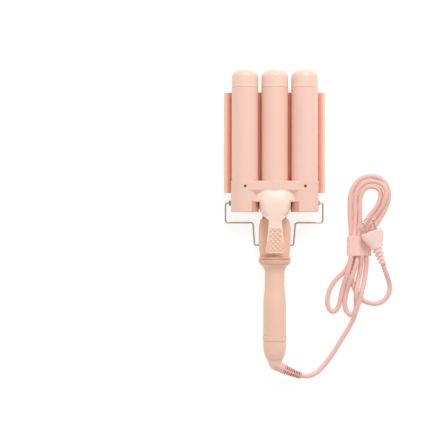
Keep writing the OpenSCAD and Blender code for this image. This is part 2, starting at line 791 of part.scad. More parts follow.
module barrel_left() {
    color([0.95, 0.77, 0.71]) tube(-barrel_pitch, side_bore_y + 0.1);
}

module barrel_middle() {
    color([0.95, 0.77, 0.71]) tube(0, middle_bore_y + 0.1);
}

module barrel_right() {
    color([0.95, 0.77, 0.71]) tube(barrel_pitch, side_bore_y + 0.1);
}

// A point of the cap's blunt end, as radius and height: |r / radius|^n + |h / rise|^n = 1
function tip_point(radius, rise, a) =
    [radius * pow(cos(a), 2 / tip_blunt), tip_len - tip_dome + rise * pow(sin(a), 2 / tip_blunt)];

// A hollow tip cap: a plug in the tube, a straight skirt and a blunt end
module tip(x) {
    plug_r = barrel_r - barrel_wall - fit;
    bore_r = plug_r - tip_wall;
    outside = [for (i = [0:18]) tip_point(barrel_r, tip_dome, 5 * i)];
    inside = [for (i = [18:-1:0]) tip_point(bore_r, tip_dome - tip_wall, 5 * i)];
    foot = [[bore_r, -tip_plug], [plug_r, -tip_plug], [plug_r, 0.05], [barrel_r, 0.05]];
    translate([x, seam_y, barrel_z]) rotate([-90, 0, 0]) rotate_extrude($fn = fine)
        polygon(concat(foot, outside, inside));
}

module tip_left() {
    color([0.96, 0.81, 0.73]) tip(-barrel_pitch);
}

module tip_middle() {
    color([0.96, 0.81, 0.73]) tip(0);
}

module tip_right() {
    color([0.96, 0.81, 0.73]) tip(barrel_pitch);
}

heater_y0 = middle_bore_y + 14;
heater_y1 = seam_y - tip_plug - 4;

// Sprung aluminium clamps that press the heaters' heat into the tubes
module spreader_section() {
    r = barrel_r - barrel_wall - fit;
    difference() {
        union() {
            intersection() {
                difference() {
                    circle(r = r, $fn = fine);
                    circle(r = r - 1.2, $fn = fine);
                }
                square([18, 2 * r + 2], center = true);
            }
            intersection() {
                circle(r = r - 0.6, $fn = fine);
                square([2, 2 * r], center = true);
            }
            square([heater_w, heater_t + 2 * fit + 2], center = true);
        }
        square([heater_w + past, heater_t + 2 * fit], center = true);
    }
}

module heat_spreaders() {
    color("silver") for (i = [-1:1]) translate([i * barrel_pitch, 0, barrel_z])
        carried(heater_y0, heater_y1) spreader_section();
}

module ceramic_heaters() {
    color("ivory") for (x = [-barrel_pitch, 0, barrel_pitch])
        block([x - heater_w / 2, heater_y0 + 2, barrel_z - heater_t / 2],
            [x + heater_w / 2, heater_y1 - 2, barrel_z + heater_t / 2]);
}

module thermal_fuse() {
    r = barrel_r - barrel_wall - 1.2 - 2 * fit;
    color("white") bar_y(1.8, heater_y0 + 1, heater_y0 + 14, 3.1, barrel_z + r - 2.6);
}

module barrel_screws() {
    color([0.35, 0.2, 0.16]) for (s = [-1, 1]) translate([s * barrel_pitch, barrel_screw_y, barrel_z]) {
        translate([0, 0, barrel_r + 0.02]) cylinder(h = socket_wall - 0.25, r = 1.5, $fn = soft);
        translate([0, 0, barrel_r - barrel_wall - 1.5]) cylinder(h = barrel_wall + 2, r = 1, $fn = soft);
    }
}

// ---- stand ----

module wire_arc(c, a0) {
    translate([c[0], c[1], 0]) rotate([0, 0, a0]) rotate_extrude(angle = 90, $fn = fine)
        translate([wire_bend, 0]) circle(d = wire_d, $fn = 24);
}

// Half of the wire, from its pivot end to the middle of the foot, in the wire's own plane
module wire_side() {
    r = wire_bend;
    xo = stand_w / 2;
    xi = foot_w / 2;
    y1 = -stand_drop;
    y2 = y1 - foot_drop;
    q = wire_d / 2;
    bar_x(q, tray_w / 2 - 3.5, xo - r, 0, 0);
    wire_arc([xo - r, -r], 0);
    bar_y(q, y1 + r, -r, xo, 0);
    wire_arc([xo - r, y1 + r], -90);
    bar_x(q, xi + r, xo - r, y1, 0);
    wire_arc([xi + r, y1 - r], 90);
    bar_y(q, y2 + r, y1 - r, xi, 0);
    wire_arc([xi - r, y2 + r], -90);
    bar_x(q, -0.01, xi - r, y2, 0);
}

module stand_wire() {
    color("lightgray") translate([0, stand_y, stand_z]) rotate([stand_tilt, 0, 0]) {
        wire_side();
        mirror([1, 0, 0]) wire_side();
    }
}

// ---- cord, with its swivel, tie and plug ----

module cord_elbow() {
    inner = cap_y1 + 2.5;
    color([0.9, 0.73, 0.68]) difference() {
        union() {
            intersection() {
                translate(ball) sphere(r = ball_r, $fn = fine);
                block([-40, ball[1] - 40, 0], [40, cap_y1 - fit, 60]);
            }
            bar_y(swivel_r, cap_y1 - 3, inner + 2.6, 0, handle_z);
        }
        bar_y(3, cap_y1 - 4, inner + 3, 0, handle_z);
        difference() {
            bar_y(swivel_r + past, inner + 0.05, inner + 1.4, 0, handle_z);
            bar_y(swivel_r - 1, inner, inner + 1.5, 0, handle_z);
        }
        towards(relief_a, relief_b) translate([0, 0, -0.5]) cylinder(h = 40, r = 7.1, $fn = fine);
    }
}

module strain_relief() {
    reach = norm(relief_b - relief_a);
    first = 6.9;
    last = cord_d / 2 + 1.1;
    pitch = (reach - 3) / ribs;
    color([0.9, 0.73, 0.68]) towards(relief_a, relief_b) difference() {
        union() {
            translate([0, 0, -0.4]) cylinder(h = reach + 0.4, r1 = first - 1, r2 = last - 0.8, $fn = fine);
            translate([0, 0, -0.4]) cylinder(h = 3, r = first, $fn = fine);
            for (i = [0:ribs - 1]) let(r = first + (last - first) * (i + 1) / ribs)
                translate([0, 0, 3 + (i + 0.25) * pitch]) cylinder(h = pitch * 0.6, r = r, $fn = fine);
        }
        translate([0, 0, reach - 1.5]) cylinder(h = 5, r = cord_d / 2 + fit, $fn = fine);
    }
}

module cord_lead() {
    color([0.93, 0.8, 0.78]) swept(lead_route, cord_d / 2);
}

module cord_tail() {
    color([0.93, 0.8, 0.78]) swept(tail_route, cord_d / 2);
}

// The wound part of the lead, as one solid: loops above the tie and folds below it
module cord_hank() {
    color([0.91, 0.78, 0.75]) {
        linear_extrude(height = hank_h) difference() {
            hull() {
                translate([119.2, 23.6]) circle(r = 28.2, $fn = 48);
                translate([108, -22]) circle(r = 14.6, $fn = 48);
            }
            hull() {
                translate([121, 24]) circle(r = 9, $fn = soft);
                translate([119, -6]) circle(r = 7, $fn = soft);
            }
            translate([60, -60 + tie_y[1] + 0.3]) square([100, 60]);
        }
        linear_extrude(height = hank_h) difference() {
            hull() {
                translate([105, -58]) circle(r = 13, $fn = 48);
                translate([82.3, -110.4]) circle(r = 15, $fn = 48);
                translate([96.5, -115]) circle(r = 14.6, $fn = 48);
            }
            translate([60, tie_y[0] - 0.3]) square([100, 40]);
        }
        carried(tie_y[0] - 4, tie_y[1] + 4) neck_section(0);
    }
}

// Section of the strands under the tie: two layers on the left, one on the right, "grow" larger all round
module neck_section(grow) {
    left = hank_neck[0] - grow;
    right = hank_neck[1] + grow;
    base = tie_wall + fit - grow;
    polygon([[left, base], [right, base], [right, hank_h - 0.6 + grow], [109 + grow, hank_h - 0.4 + grow],
        [103 + grow, tie_top + grow], [left, tie_top + grow]]);
}

module cord_tie() {
    color([0.97, 0.77, 0.74]) difference() {
        carried(tie_y[0], tie_y[1]) neck_section(tie_wall + fit);
        carried(tie_y[0] - past, tie_y[1] + past) neck_section(fit);
    }
}

// The plug's own frame: +Y out of its face
module at_plug() {
    translate(plug_at) rotate([0, 0, plug_yaw]) rotate([plug_pitch, 0, 0]) children();
}

module plug_body() {
    back_w = plug_w * 0.56;
    color([0.95, 0.79, 0.75]) at_plug() difference() {
        hull() {
            block([-plug_w / 2, -5, -plug_t / 2 + 2.5], [plug_w / 2, 0, plug_t / 2 - 2.5]);
            block([-plug_w / 2 + 2.5, -5, -plug_t / 2], [plug_w / 2 - 2.5, 0, plug_t / 2]);
            block([-back_w / 2, -plug_len, -plug_t / 2 + 2], [back_w / 2, -plug_len + 1, plug_t / 2 - 2]);
        }
        for (s = [-1, 1]) block([s * 6.35 - 0.8, -8, -3.2], [s * 6.35 + 0.8, past, 3.2]);
    }
}

module plug_blades() {
    color("silver") at_plug() for (s = [-1, 1]) difference() {
        block([s * 6.35 - 0.75, -8, -3.17], [s * 6.35 + 0.75, 16, 3.17]);
        bar_x(1.6, s * 6.35 - 2, s * 6.35 + 2, 11.7, 0);
    }
}

module plug_relief() {
    reach = 22;
    steps = 4;
    color([0.95, 0.79, 0.75]) at_plug() difference() {
        union() {
            bar_y(3.9, -plug_len - reach, -plug_len, 0, 0, 4.6);
            for (i = [0:steps - 1]) let(r = 4.4 + 0.55 * i)
                bar_y(r, -plug_len - reach + 3 + i * 5, -plug_len - reach + 6 + i * 5);
        }
        bar_y(cord_d / 2 + fit, -plug_len - reach - past, -plug_len - reach + 1.5);
    }
}

rear_housing();
wave_plate();
plate_screws();
hinge_pin();
return_spring();
neck_cover();
collar_ring();
grip_front();
grip_back();
grip_screws();
trim_ring();
end_cap();
swivel_retainer();
circuit_board();
key_switches();
temperature_display();
display_window();
supply_wires();
heater_wires();
power_button();
warmer_button();
cooler_button();
front_housing();
socket_base_left();
socket_base_right();
base_screws();
lever();
thumb_pad();
barrel_left();
barrel_middle();
barrel_right();
tip_left();
tip_middle();
tip_right();
heat_spreaders();
ceramic_heaters();
thermal_fuse();
barrel_screws();
stand_wire();
cord_elbow();
strain_relief();
cord_lead();
cord_hank();
cord_tie();
cord_tail();
plug_body();
plug_relief();
plug_blades();
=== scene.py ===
# A three-barrel hair waver on its back, dressed in Blender 4.5 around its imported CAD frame.

# %% [markdown]
# ## Loading the frame
# The CAD model of the waver fixes every place and size, and each moving part of it is a "body".
# We could model freely and fit things together later, but loading the frame first means that each
# surface can be measured against the solid that it dresses. All shapes are worked out in millimetres.

import bmesh
import bpy
import numpy as np
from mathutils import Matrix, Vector


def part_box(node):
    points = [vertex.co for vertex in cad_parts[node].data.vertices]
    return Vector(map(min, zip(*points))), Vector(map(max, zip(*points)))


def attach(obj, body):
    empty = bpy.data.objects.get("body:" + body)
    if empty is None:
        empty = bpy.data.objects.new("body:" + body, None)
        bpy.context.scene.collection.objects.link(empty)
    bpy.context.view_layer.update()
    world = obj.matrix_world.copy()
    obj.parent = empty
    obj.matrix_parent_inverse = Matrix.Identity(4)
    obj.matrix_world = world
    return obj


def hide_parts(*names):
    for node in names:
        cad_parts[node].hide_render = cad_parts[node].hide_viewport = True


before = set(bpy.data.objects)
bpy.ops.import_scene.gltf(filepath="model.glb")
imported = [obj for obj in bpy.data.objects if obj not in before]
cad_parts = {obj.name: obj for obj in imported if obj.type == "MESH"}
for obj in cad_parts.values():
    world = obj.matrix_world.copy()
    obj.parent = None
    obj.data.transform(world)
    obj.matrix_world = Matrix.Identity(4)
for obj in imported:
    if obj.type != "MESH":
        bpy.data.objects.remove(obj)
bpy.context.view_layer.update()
MM = 0.001
SIDES = {"left": -1, "right": 1}


def span(node):
    """Lowest and highest corner of a CAD node, in millimetres."""
    low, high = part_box(node)
    return np.array(low) / MM, np.array(high) / MM


# %% [markdown]
# ## From arrays to meshes
# Every new piece is a surface: a grid of points that a formula gives for two parameters. A grid can be
# turned into faces with four index arrays, with no loop over its points. A closed surface must face
# outwards, and its signed volume tells whether it does: the sum of a . (b x c) / 6 over its triangles is
# positive when the faces point out. Poles are closed by merging the points that fall together.

# %% Make a piece from a grid of points
TIGHT = 2e-6  # points nearer than this, in metres, are one point


def unit(v):
    """Vectors of length 1 along the last axis: v / |v|."""
    return v / np.maximum(np.linalg.norm(v, axis=-1, keepdims=True), 1e-12)


def grid_faces(rows, columns, round_rows, round_columns):
    """Quads between neighbouring grid points; a round direction also joins its last line to its first."""
    i = np.arange(rows if round_rows else rows - 1)[:, None]
    j = np.arange(columns if round_columns else columns - 1)[None, :]
    here, below = i * columns + j, (i + 1) % rows * columns + j
    right, across = i * columns + (j + 1) % columns, (i + 1) % rows * columns + (j + 1) % columns
    return np.stack([here, right, across, below], axis=-1).reshape(-1, 4)


def placed(name, data):
    """A new object in the scene."""
    obj = bpy.data.objects.new(name, data)
    bpy.context.scene.collection.objects.link(obj)
    return obj


def piece(name, body, finish, points, faces, replaces=(), slot=None, extra=()):
    """A mesh piece in the row frame, turned the right way out, that rides on a body and wears a finish."""
    mesh = bpy.data.meshes.new(name)
    mesh.from_pydata(np.asarray(points, float).reshape(-1, 3) * MM, [], [tuple(f) for f in faces] + list(extra))
    work = bmesh.new()
    work.from_mesh(mesh)
    bmesh.ops.remove_doubles(work, verts=work.verts, dist=TIGHT)
    bmesh.ops.dissolve_degenerate(work, edges=work.edges, dist=TIGHT / 4)
    if work.calc_volume(signed=True) < 0:
        bmesh.ops.reverse_faces(work, faces=work.faces)
    work.to_mesh(mesh)
    work.free()
    mesh.shade_smooth()
    mesh.set_sharp_from_angle(angle=np.radians(48))
    obj = placed(name, mesh)
    mesh.materials.append(finish)
    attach(obj, body)
    if replaces:
        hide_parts(*replaces)
    print(f"{name}: {len(mesh.polygons)} faces")
    return obj


def lid(count):
    """Faces across a ring of points, from its first half to its second half run backwards."""
    quads = [(i, i + 1, count - 2 - i, count - 1 - i) for i in range((count - 2) // 2)]
    half = count // 2
    return quads + ([(half - 1, half, half + 1)] if count % 2 else [])


def surface(name, body, finish, points, round_rows=False, round_columns=True, ends=False, **told):
    """A piece from points[rows, columns, 3]. With ends, a lid closes the first and the last row."""
    rows, columns = points.shape[:2]
    extra = []
    if ends:
        last = (rows - 1) * columns
        extra = [face[::-1] for face in lid(columns)] + [tuple(i + last for i in face) for face in lid(columns)]
    faces = grid_faces(rows, columns, round_rows, round_columns)
    return piece(name, body, finish, points, faces, extra=extra, **told)


def mark(obj, finish, chosen):
    """Gives a second finish to the faces whose centres, in millimetres, the function chooses."""
    faces = obj.data.polygons
    centre = np.empty(3 * len(faces))
    faces.foreach_get("center", centre)
    obj.data.materials.append(finish)
    faces.foreach_set("material_index", chosen(centre.reshape(-1, 3) / MM).astype(np.int32))


# %% [markdown]
# ## Lines with soft corners, and smooth curves
# Moulded parts have no sharp corners. Each corner of an outline is replaced by a short parabola: from the
# point a cut away before the corner, through a point pulled towards the corner, to the same distance after
# it. A route or a long flowing outline is drawn instead by a Catmull-Rom curve, which passes through all of
# its points with a smooth direction.

# %% Soft corners, smooth curves and even steps
def soft(points, cut, steps=5, closed=False):
    """Corner p between a and b: (1-t)^2 s + 2t(1-t) p + t^2 e, where s and e lie a cut away towards a and b."""
    p = np.asarray(points, float)
    cut = np.broadcast_to(np.asarray(cut, float), (len(p),))
    before, after = np.roll(p, 1, axis=0), np.roll(p, -1, axis=0)
    la, lb = np.linalg.norm(before - p, axis=1), np.linalg.norm(after - p, axis=1)
    room, run_in = 0.42, 0.12  # shares: of a side that one corner may take, and of a cut added before its bend
    start = p + unit(before - p) * np.minimum(cut, la * room)[:, None]
    end = p + unit(after - p) * np.minimum(cut, lb * room)[:, None]
    t = np.linspace(0, 1, steps)[None, :, None]
    bent = (1 - t) ** 2 * start[:, None] + 2 * t * (1 - t) * p[:, None] + t**2 * end[:, None]
    first, last = start + (start - p) * run_in, end + (end - p) * run_in
    flat = np.concatenate([first[:, None], bent, last[:, None]], axis=1)
    if closed:
        return flat.reshape(-1, p.shape[1])
    return np.concatenate([p[:1], flat[1:-1].reshape(-1, p.shape[1]), p[-1:]])


def flowing(points, per_span=12):
    """Catmull-Rom: between p1 and p2 the curve is the cubic whose end slopes are (p2-p0)/2 and (p3-p1)/2."""
    p = np.asarray(points, float)
    p = np.concatenate([2 * p[:1] - p[1:2], p, 2 * p[-1:] - p[-2:-1]])
    t = np.linspace(0, 1, per_span, endpoint=False)[None, :, None]
    a, b, c, d = (p[k : len(p) - 3 + k, None] for k in range(4))
    curve = 0.5 * (2 * b + (c - a) * t + (2 * a - 5 * b + 4 * c - d) * t**2 + (3 * b - a - 3 * c + d) * t**3)
    return np.concatenate([curve.reshape(-1, p.shape[1]), p[-2:-1]])


def even(line, step):
    """The same line with points at equal distances of about one step along it."""
    along = np.concatenate([[0], np.cumsum(np.linalg.norm(np.diff(line, axis=0), axis=1))])
    want = np.linspace(0, along[-1], max(2, int(round(along[-1] / step)) + 1))
    return np.stack([np.interp(want, along, line[:, k]) for k in range(line.shape[1])], axis=1)


def blend_up(*heights, soften):
    """Soft maximum of several height fields: soften * log(sum of exp(h / soften))."""
    stack = np.stack(np.broadcast_arrays(*heights))
    top = stack.max(axis=0)
    return top + soften * np.log(np.exp((stack - top) / soften).sum(axis=0))


def step_up(x, low, high):
    """Smooth step from 0 at low to 1 at high: t^2 (3 - 2t)."""
    t = np.clip((x - low) / (high - low), 0, 1)
    return t * t * (3 - 2 * t)


def squared_off(v, power):
    """A sine or cosine v made to linger near -1 and 1: sign(v) |v|^power, with a power below 1."""
    return np.sign(v) * np.abs(v) ** power


# %% [markdown]
# ## Three ways to carry a line through space
# Nearly everything on a waver is turned, carried or swept. A turned piece takes a line of radii and places
# along Y and spins it about an axis parallel to Y. A carried piece takes a section in X and Z along Y, with
# its ends drawn in so that the rims are soft. A swept piece carries a ring along a route in space.

# %% Turned, carried and swept surfaces
def circle(count, start=0.0, sweep=360.0, whole=True):
    """Angles in radians, evenly spaced; a whole circle leaves out the repeated last one."""
    return np.radians(start + np.linspace(0, sweep, count, endpoint=not whole))


def spun(line, axis, angles):
    """Point = axis + (r cos a, y, r sin a) for each (r, y) of the line and each angle a."""
    line = np.asarray(line, float)
    x = axis[0] + line[:, :1] * np.cos(angles)
    z = axis[1] + line[:, :1] * np.sin(angles)
    return np.stack([x, np.broadcast_to(line[:, 1:], x.shape), z], axis=-1)


def turned(name, body, finish, line, axis=(0, 20), count=96, **told):
    """A solid of revolution about the line through axis = (x, z), parallel to Y, from pole to pole."""
    return surface(name, body, finish, spun(line, axis, circle(count)), **told)


def outward(section):
    """Unit normals of a closed section in 2-D, on its outer side."""
    along = unit(np.roll(section, -1, axis=0) - np.roll(section, 1, axis=0))
    x, z = section[:, 0], section[:, 1]
    turn = np.sign(np.sum(x * np.roll(z, -1) - np.roll(x, -1) * z))
    return turn * np.stack([along[:, 1], -along[:, 0]], axis=1)


def carried(name, body, finish, section, start, stop, rim=0.4, along="Y", **told):
    """The section along an axis, drawn in by rim (1 - cos a) at a distance of rim (1 - sin a) from each end."""
    a = circle(5, 90, -90, whole=False)
    inset, run = rim * (1 - np.cos(a)), rim * (1 - np.sin(a))
    place = np.concatenate([start + run, [start + rim * 1.3, stop - rim * 1.3], (stop - run)[::-1]])
    inset = np.concatenate([inset, [0, 0], inset[::-1]])
    flat = section[None] - outward(section)[None] * inset[:, None, None]
    place = np.broadcast_to(place[:, None], flat.shape[:2])
    order = [flat[..., 0], place, flat[..., 1]] if along == "Y" else [place, flat[..., 0], flat[..., 1]]
    return surface(name, body, finish, np.stack(order, axis=-1), ends=True, **told)


def rings_along(route, radius, sides, start=0.0):
    """Ring points route + r (u cos a + v sin a), with u level and v = t x u for the route's direction t."""
    t = unit(np.gradient(route, axis=0))
    u = unit(np.cross([0.0, 0.0, 1.0], t))
    v = np.cross(t, u)
    a = circle(sides, start)[None, :, None]
    r = np.broadcast_to(np.asarray(radius, float), (len(route),)) if np.ndim(radius) < 2 else radius
    r = r[:, None, None] if r.ndim == 1 else r[..., None]
    return route[:, None] + r * (u[:, None] * np.cos(a) + v[:, None] * np.sin(a))


def swept(name, body, finish, route, radius, sides=20, **told):
    """A tube of that radius along a route that never runs upright, closed at both ends."""
    return surface(name, body, finish, rings_along(route, radius, sides), ends=True, **told)


# %% [markdown]
# ## Shader maths that reads as arithmetic
# A material is a graph of nodes, and long graphs are hard to read as code. A small class that wraps a
# socket can overload the usual operators, so that an expression such as 1 - mask * 0.2 adds its own Math
# nodes. Everything else goes through one method that takes a node's type, its settings and its inputs.

# %% Shader values and finishes
class Value:
    """A number that varies over a surface: arithmetic on it adds Math nodes to its finish."""

    def __init__(self, finish, socket):
        self.finish, self.socket = finish, socket

    def __add__(self, other):
        return self.finish.maths("ADD", self, other)

    def __sub__(self, other):
        return self.finish.maths("SUBTRACT", self, other)

    def __rsub__(self, other):
        return self.finish.maths("SUBTRACT", other, self)

    def __mul__(self, other):
        return self.finish.maths("MULTIPLY", self, other)

    __radd__, __rmul__ = __add__, __mul__

    def clamped(self):
        return self.finish.node("Clamp", {}, {0: self})


class Finish:
    """A node material around one Principled shader."""

    def __init__(self, name, **constants):
        self.material = bpy.data.materials.new(name)
        self.material.use_nodes = True
        self.tree = self.material.node_tree
        self.shader = self.tree.nodes["Principled BSDF"]
        for socket, value in constants.items():
            self.shader.inputs[socket.replace("_", " ")].default_value = value
        self.place = self.node("TexCoord", {}, {}, "Object")
        self.across = self.node("SeparateXYZ", {}, {0: self.place}, "X")

    def node(self, kind, settings, inputs, output=0):
        """Adds a node: first its settings (a ramp's stops are a list), then values or links for its inputs."""
        made = self.tree.nodes.new("ShaderNode" + kind)
        for key, value in settings.items():
            if key == "stops":
                ramp = made.color_ramp.elements
                while len(ramp) < len(value):
                    ramp.new(0.5)
                for stop, (at, colour) in zip(ramp, value):
                    stop.position, stop.color = at, colour
            else:
                setattr(made, key, value)
        for key, value in inputs.items():
            self.feed(made.inputs[key], value)
        return Value(self, made.outputs[output])

    def maths(self, operation, first, second=0.0):
        """One Math node."""
        return self.node("Math", {"operation": operation}, {0: first, 1: second})

    def feed(self, socket, value):
        """Links a value to a socket, or sets the socket's own number or colour."""
        if isinstance(value, Value):
            self.tree.links.new(value.socket, socket)
        else:
            socket.default_value = value

    def set(self, **inputs):
        """Feeds the shader's own sockets."""
        for name, value in inputs.items():
            self.feed(self.shader.inputs[name.replace("_", " ")], value)
        return self.material

    def noise(self, scale, detail=2.0, rough=0.5, vector=None):
        """Noise of so many grains to the metre, about 0.5 on average."""
        inputs = {"Vector": vector or self.place, "Scale": scale, "Detail": detail, "Roughness": rough}
        return self.node("TexNoise", {}, inputs)

    def mix(self, amount, first, second):
        """A colour between first at 0 and second at 1."""
        return self.node("Mix", {"data_type": "RGBA"}, {0: amount, 6: first, 7: second}, 2)

    def bump(self, height, depth, strength=0.5):
        """A normal tilted by a height field of that depth in metres."""
        return self.node("Bump", {}, {"Height": height, "Distance": depth, "Strength": strength})


def colour(red, green, blue):
    """Linear colour of an sRGB colour given in 0 to 255: ((c + 0.055) / 1.055)^2.4."""
    c = np.array([red, green, blue]) / 255
    return (*np.where(c <= 0.04045, c / 12.92, ((c + 0.055) / 1.055) ** 2.4), 1.0)


def shade(rgb, factor):
    """The colour made darker or lighter by a factor."""
    return (*[min(1.0, v * factor) for v in rgb[:3]], 1.0)


# %% [markdown]
# ## Moulded plastic and coated metal
# The shells are moulded in tinted plastic with a fine spark-eroded skin: a grain of about half a millimetre
# that breaks up the highlights. Wide, faint clouds of a second tone keep a large shell from looking like
# one flat colour. The barrels are aluminium with a sprayed ceramic coat, which is smoother, has a slight
# orange peel and carries tiny speckles.

# %% Finishes for shells, coated metal, rubber and wire
def moulded(name, base, clouds=0.05, gloss=0.42, grain=1800, depth=0.00002, coat=0.0):
    """Tinted plastic: two close tones in wide clouds, roughness that follows them, and a fine skin."""
    f = Finish(name, Coat_Weight=coat, Coat_Roughness=0.25)
    cloud = f.noise(38, 3.0)
    skin = f.noise(grain, 2.0, 0.6)
    tone = f.mix(cloud, shade(base, 1 - clouds), shade(base, 1 + clouds))
    return f.set(Base_Color=tone, Roughness=cloud * 0.08 + gloss - 0.04, Normal=f.bump(skin, depth))


def ceramic_coat(name, base, speckle=0.1, gloss=0.34, rim=None):
    """Sprayed coat with faint speckles and a shallow orange peel; beyond a distance from X = 0 it may turn
    paler, a painted highlight.
    """
    f = Finish(name, Coat_Weight=0.25, Coat_Roughness=0.2)
    grains = f.node("ValToRGB", {"stops": [(0.56, (0, 0, 0, 1)), (0.7, (1, 1, 1, 1))]}, {0: f.noise(2600, 1.0)})
    cloud = f.noise(22, 2.0)
    tone = f.mix(cloud, shade(base, 0.97), shade(base, 1.03))
    # Beyond rim[0] from X = 0 the tone turns to rim[1]: painted light on lit edges.
    if rim:
        far = f.maths("ABSOLUTE", f.across) - rim[0]
        tone = f.mix((far * 200).clamped(), tone, rim[1])
    tone = f.mix(grains * speckle, tone, shade(base, 0.72))
    peel = f.noise(620, 1.0)
    return f.set(Base_Color=tone, Roughness=cloud * 0.06 + gloss, Normal=f.bump(peel, 0.00003, 0.35))


def rubber(name, base, gloss=0.5):
    """Soft PVC: matte, with faint scuffs where it has rubbed."""
    f = Finish(name, Sheen_Weight=0.15, Sheen_Roughness=0.4)
    scuff = f.noise(150, 4.0, 0.65)
    tone = f.mix(scuff, shade(base, 0.93), shade(base, 1.05))
    return f.set(Base_Color=tone, Roughness=scuff * 0.2 + gloss - 0.1, Normal=f.bump(f.noise(2200), 0.00003))


def steel(name, base, gloss=0.32, drawn=(900, 60, 900)):
    """Metal with fine marks drawn out along Y, which also vary its roughness."""
    f = Finish(name, Metallic=1.0)
    stretched = f.node("Mapping", {}, {"Vector": f.place, "Scale": drawn})
    marks = f.noise(1.0, 2.0, 0.6, stretched)
    tone = f.mix(marks, shade(base, 0.88), shade(base, 1.08))
    return f.set(Base_Color=tone, Roughness=marks * 0.2 + gloss - 0.1, Normal=f.bump(marks, 0.00001))


BARREL = ceramic_coat("barrel_coat", colour(246, 203, 187))
TIP = moulded("tip_plastic", colour(247, 209, 190), gloss=0.36)
HOUSING = moulded("housing_plastic", colour(245, 203, 186), gloss=0.4)
# The housing's plastic darkened: painted shade for the socket sides under the dome's overhanging wing.
POCKET_SHADE = moulded("pocket_painted_shade", colour(222, 168, 144), gloss=0.55)
LEVER = moulded("lever_plastic", colour(252, 222, 206), gloss=0.38, clouds=0.03, coat=0.1)
PAD = rubber("pad_rubber", colour(239, 200, 178), gloss=0.55)
NECK = moulded("neck_plastic", colour(240, 193, 168), gloss=0.45)
# The grip's plastic in a darker tone: painted shade under the lever's end.
COLLAR_SHADED = moulded("collar_painted_shade", colour(230, 184, 159), gloss=0.42)
GRIP = moulded("grip_plastic", colour(242, 199, 175), gloss=0.42, clouds=0.04)
# A deep tone for the plate between the barrels, painted shade, and a paler one beyond 54.5 mm of X for the
# rolled edges, painted light.
PLATE = ceramic_coat("plate_coat", colour(238, 155, 131), gloss=0.38, rim=(0.0545, colour(248, 207, 190)))
CORD = rubber("cord_rubber", colour(240, 192, 181), gloss=0.45)
BALL = rubber("ball_rubber", colour(249, 206, 188), gloss=0.45)
# A dark tone for the faces deep in the relief's cuts: painted shade.
SLIT_SHADE = rubber("slit_painted_shade", colour(122, 60, 52), gloss=0.6)
TIE = rubber("tie_rubber", colour(252, 205, 195), gloss=0.48)
# The tie's rubber made paler: painted light on the plug, which lies on top of the bundle.
PLUG = rubber("plug_rubber_painted_light", colour(254, 216, 208), gloss=0.48)
WIRE = steel("wire_steel", colour(196, 188, 176), gloss=0.35)
SCREW = steel("screw_steel", colour(176, 168, 160), gloss=0.4)
# A dark reddish brown for the barrel screws: painted shade of their sunk holes.
DARK = moulded("screw_hole_painted_shade", colour(104, 62, 50), gloss=0.5)
# The tray's moulding in a dark tone: painted shade for the stand's hinge holes.
BOSS_SHADE = moulded("boss_painted_shade", colour(168, 118, 104), gloss=0.5)
BRIGHT = steel("bright_steel", colour(200, 198, 194), gloss=0.3)
BLADE = steel("blade_metal", colour(206, 200, 188), gloss=0.25)
print("finishes made:", len(bpy.data.materials))

# %% [markdown]
# ## Barrels and tip caps
# Three tubes of 33 mm carry the heat. Each is a section closed on itself and spun about the barrel's axis:
# out along the tube, round a soft rim and back along its bore. The tip caps stay cool, so they are plastic:
# a straight skirt and a blunt end that follows a superellipse, |r/a|^n + |y/b|^n = 1.

# %% Barrels
barrel_low, barrel_high = span("barrel_middle")
barrel_r = (barrel_high[0] - barrel_low[0]) / 2
barrel_z = (barrel_low[2] + barrel_high[2]) / 2
seam_y = barrel_high[1]
side_x = span("barrel_right")[1][0] - barrel_r
BARRELS = {"left": -side_x, "middle": 0.0, "right": side_x}
wall = 1.2


def tube_line(radius, bore, y0, y1, cut):
    """Closed section of a tube in radius and Y, with soft corners."""
    return soft([[bore, y0], [radius, y0], [radius, y1], [bore, y1]], cut, closed=True)


for side, x in BARRELS.items():
    y0 = span("barrel_" + side)[0][1]
    line = tube_line(barrel_r, barrel_r - wall, y0, seam_y, 0.35)
    tube = spun(line, (x, barrel_z), circle(128))
    surface("heated_barrel_" + side, "barrel_jaw", BARREL, tube, round_rows=True,
            replaces=["barrel_" + side], slot="pink_barrel")

# %% Tip caps
tip_end = span("tip_middle")[1][1]
dome_long, blunt = 11.5, 2.5


def tip_line():
    """From the bore, over the skirt with its fine step at the seam, to the pole of the blunt end."""
    a = np.radians(np.linspace(0, 90, 40))
    end_r = barrel_r * np.cos(a) ** (2 / blunt)
    end_y = tip_end - dome_long + dome_long * np.sin(a) ** (2 / blunt)
    skirt = soft([[0, seam_y - 6], [barrel_r - 2, seam_y - 6], [barrel_r - 1.4, seam_y + 0.1],
                  [barrel_r, seam_y + 0.15], [barrel_r, tip_end - dome_long - 1]], 0.25)
    return np.concatenate([skirt, np.stack([end_r, end_y], axis=1)])


for side, x in BARRELS.items():
    turned("tip_cap_" + side, "barrel_jaw", TIP, tip_line(), (x, barrel_z), 128,
           replaces=["tip_" + side], slot="pink_tip")

# %% [markdown]
# ## The wave plate
# The fixed jaw is one coated sheet, pressed into a trough under each barrel and a ridge between them, with
# wings that roll over at their edges. Its section is a chain of tangent arcs, so we draw the upper line from
# arcs, and the lower line from the same arcs with each radius changed by the sheet's thickness.

# %% Wave plate
plate_low, plate_high = span("wave_plate")
plate_t, trough_r, ridge_r, roll_r = 1.5, barrel_r + 0.5, 4.0, 2.2
wing = np.radians(28)


def arc(centre, radius, a0, a1, count):
    """Points centre + r (cos a, sin a), in X and Z, for angles given in degrees."""
    a = np.radians(np.linspace(a0, a1, count))
    return np.stack([centre[0] + radius * np.cos(a), centre[1] + radius * np.sin(a)], axis=1)


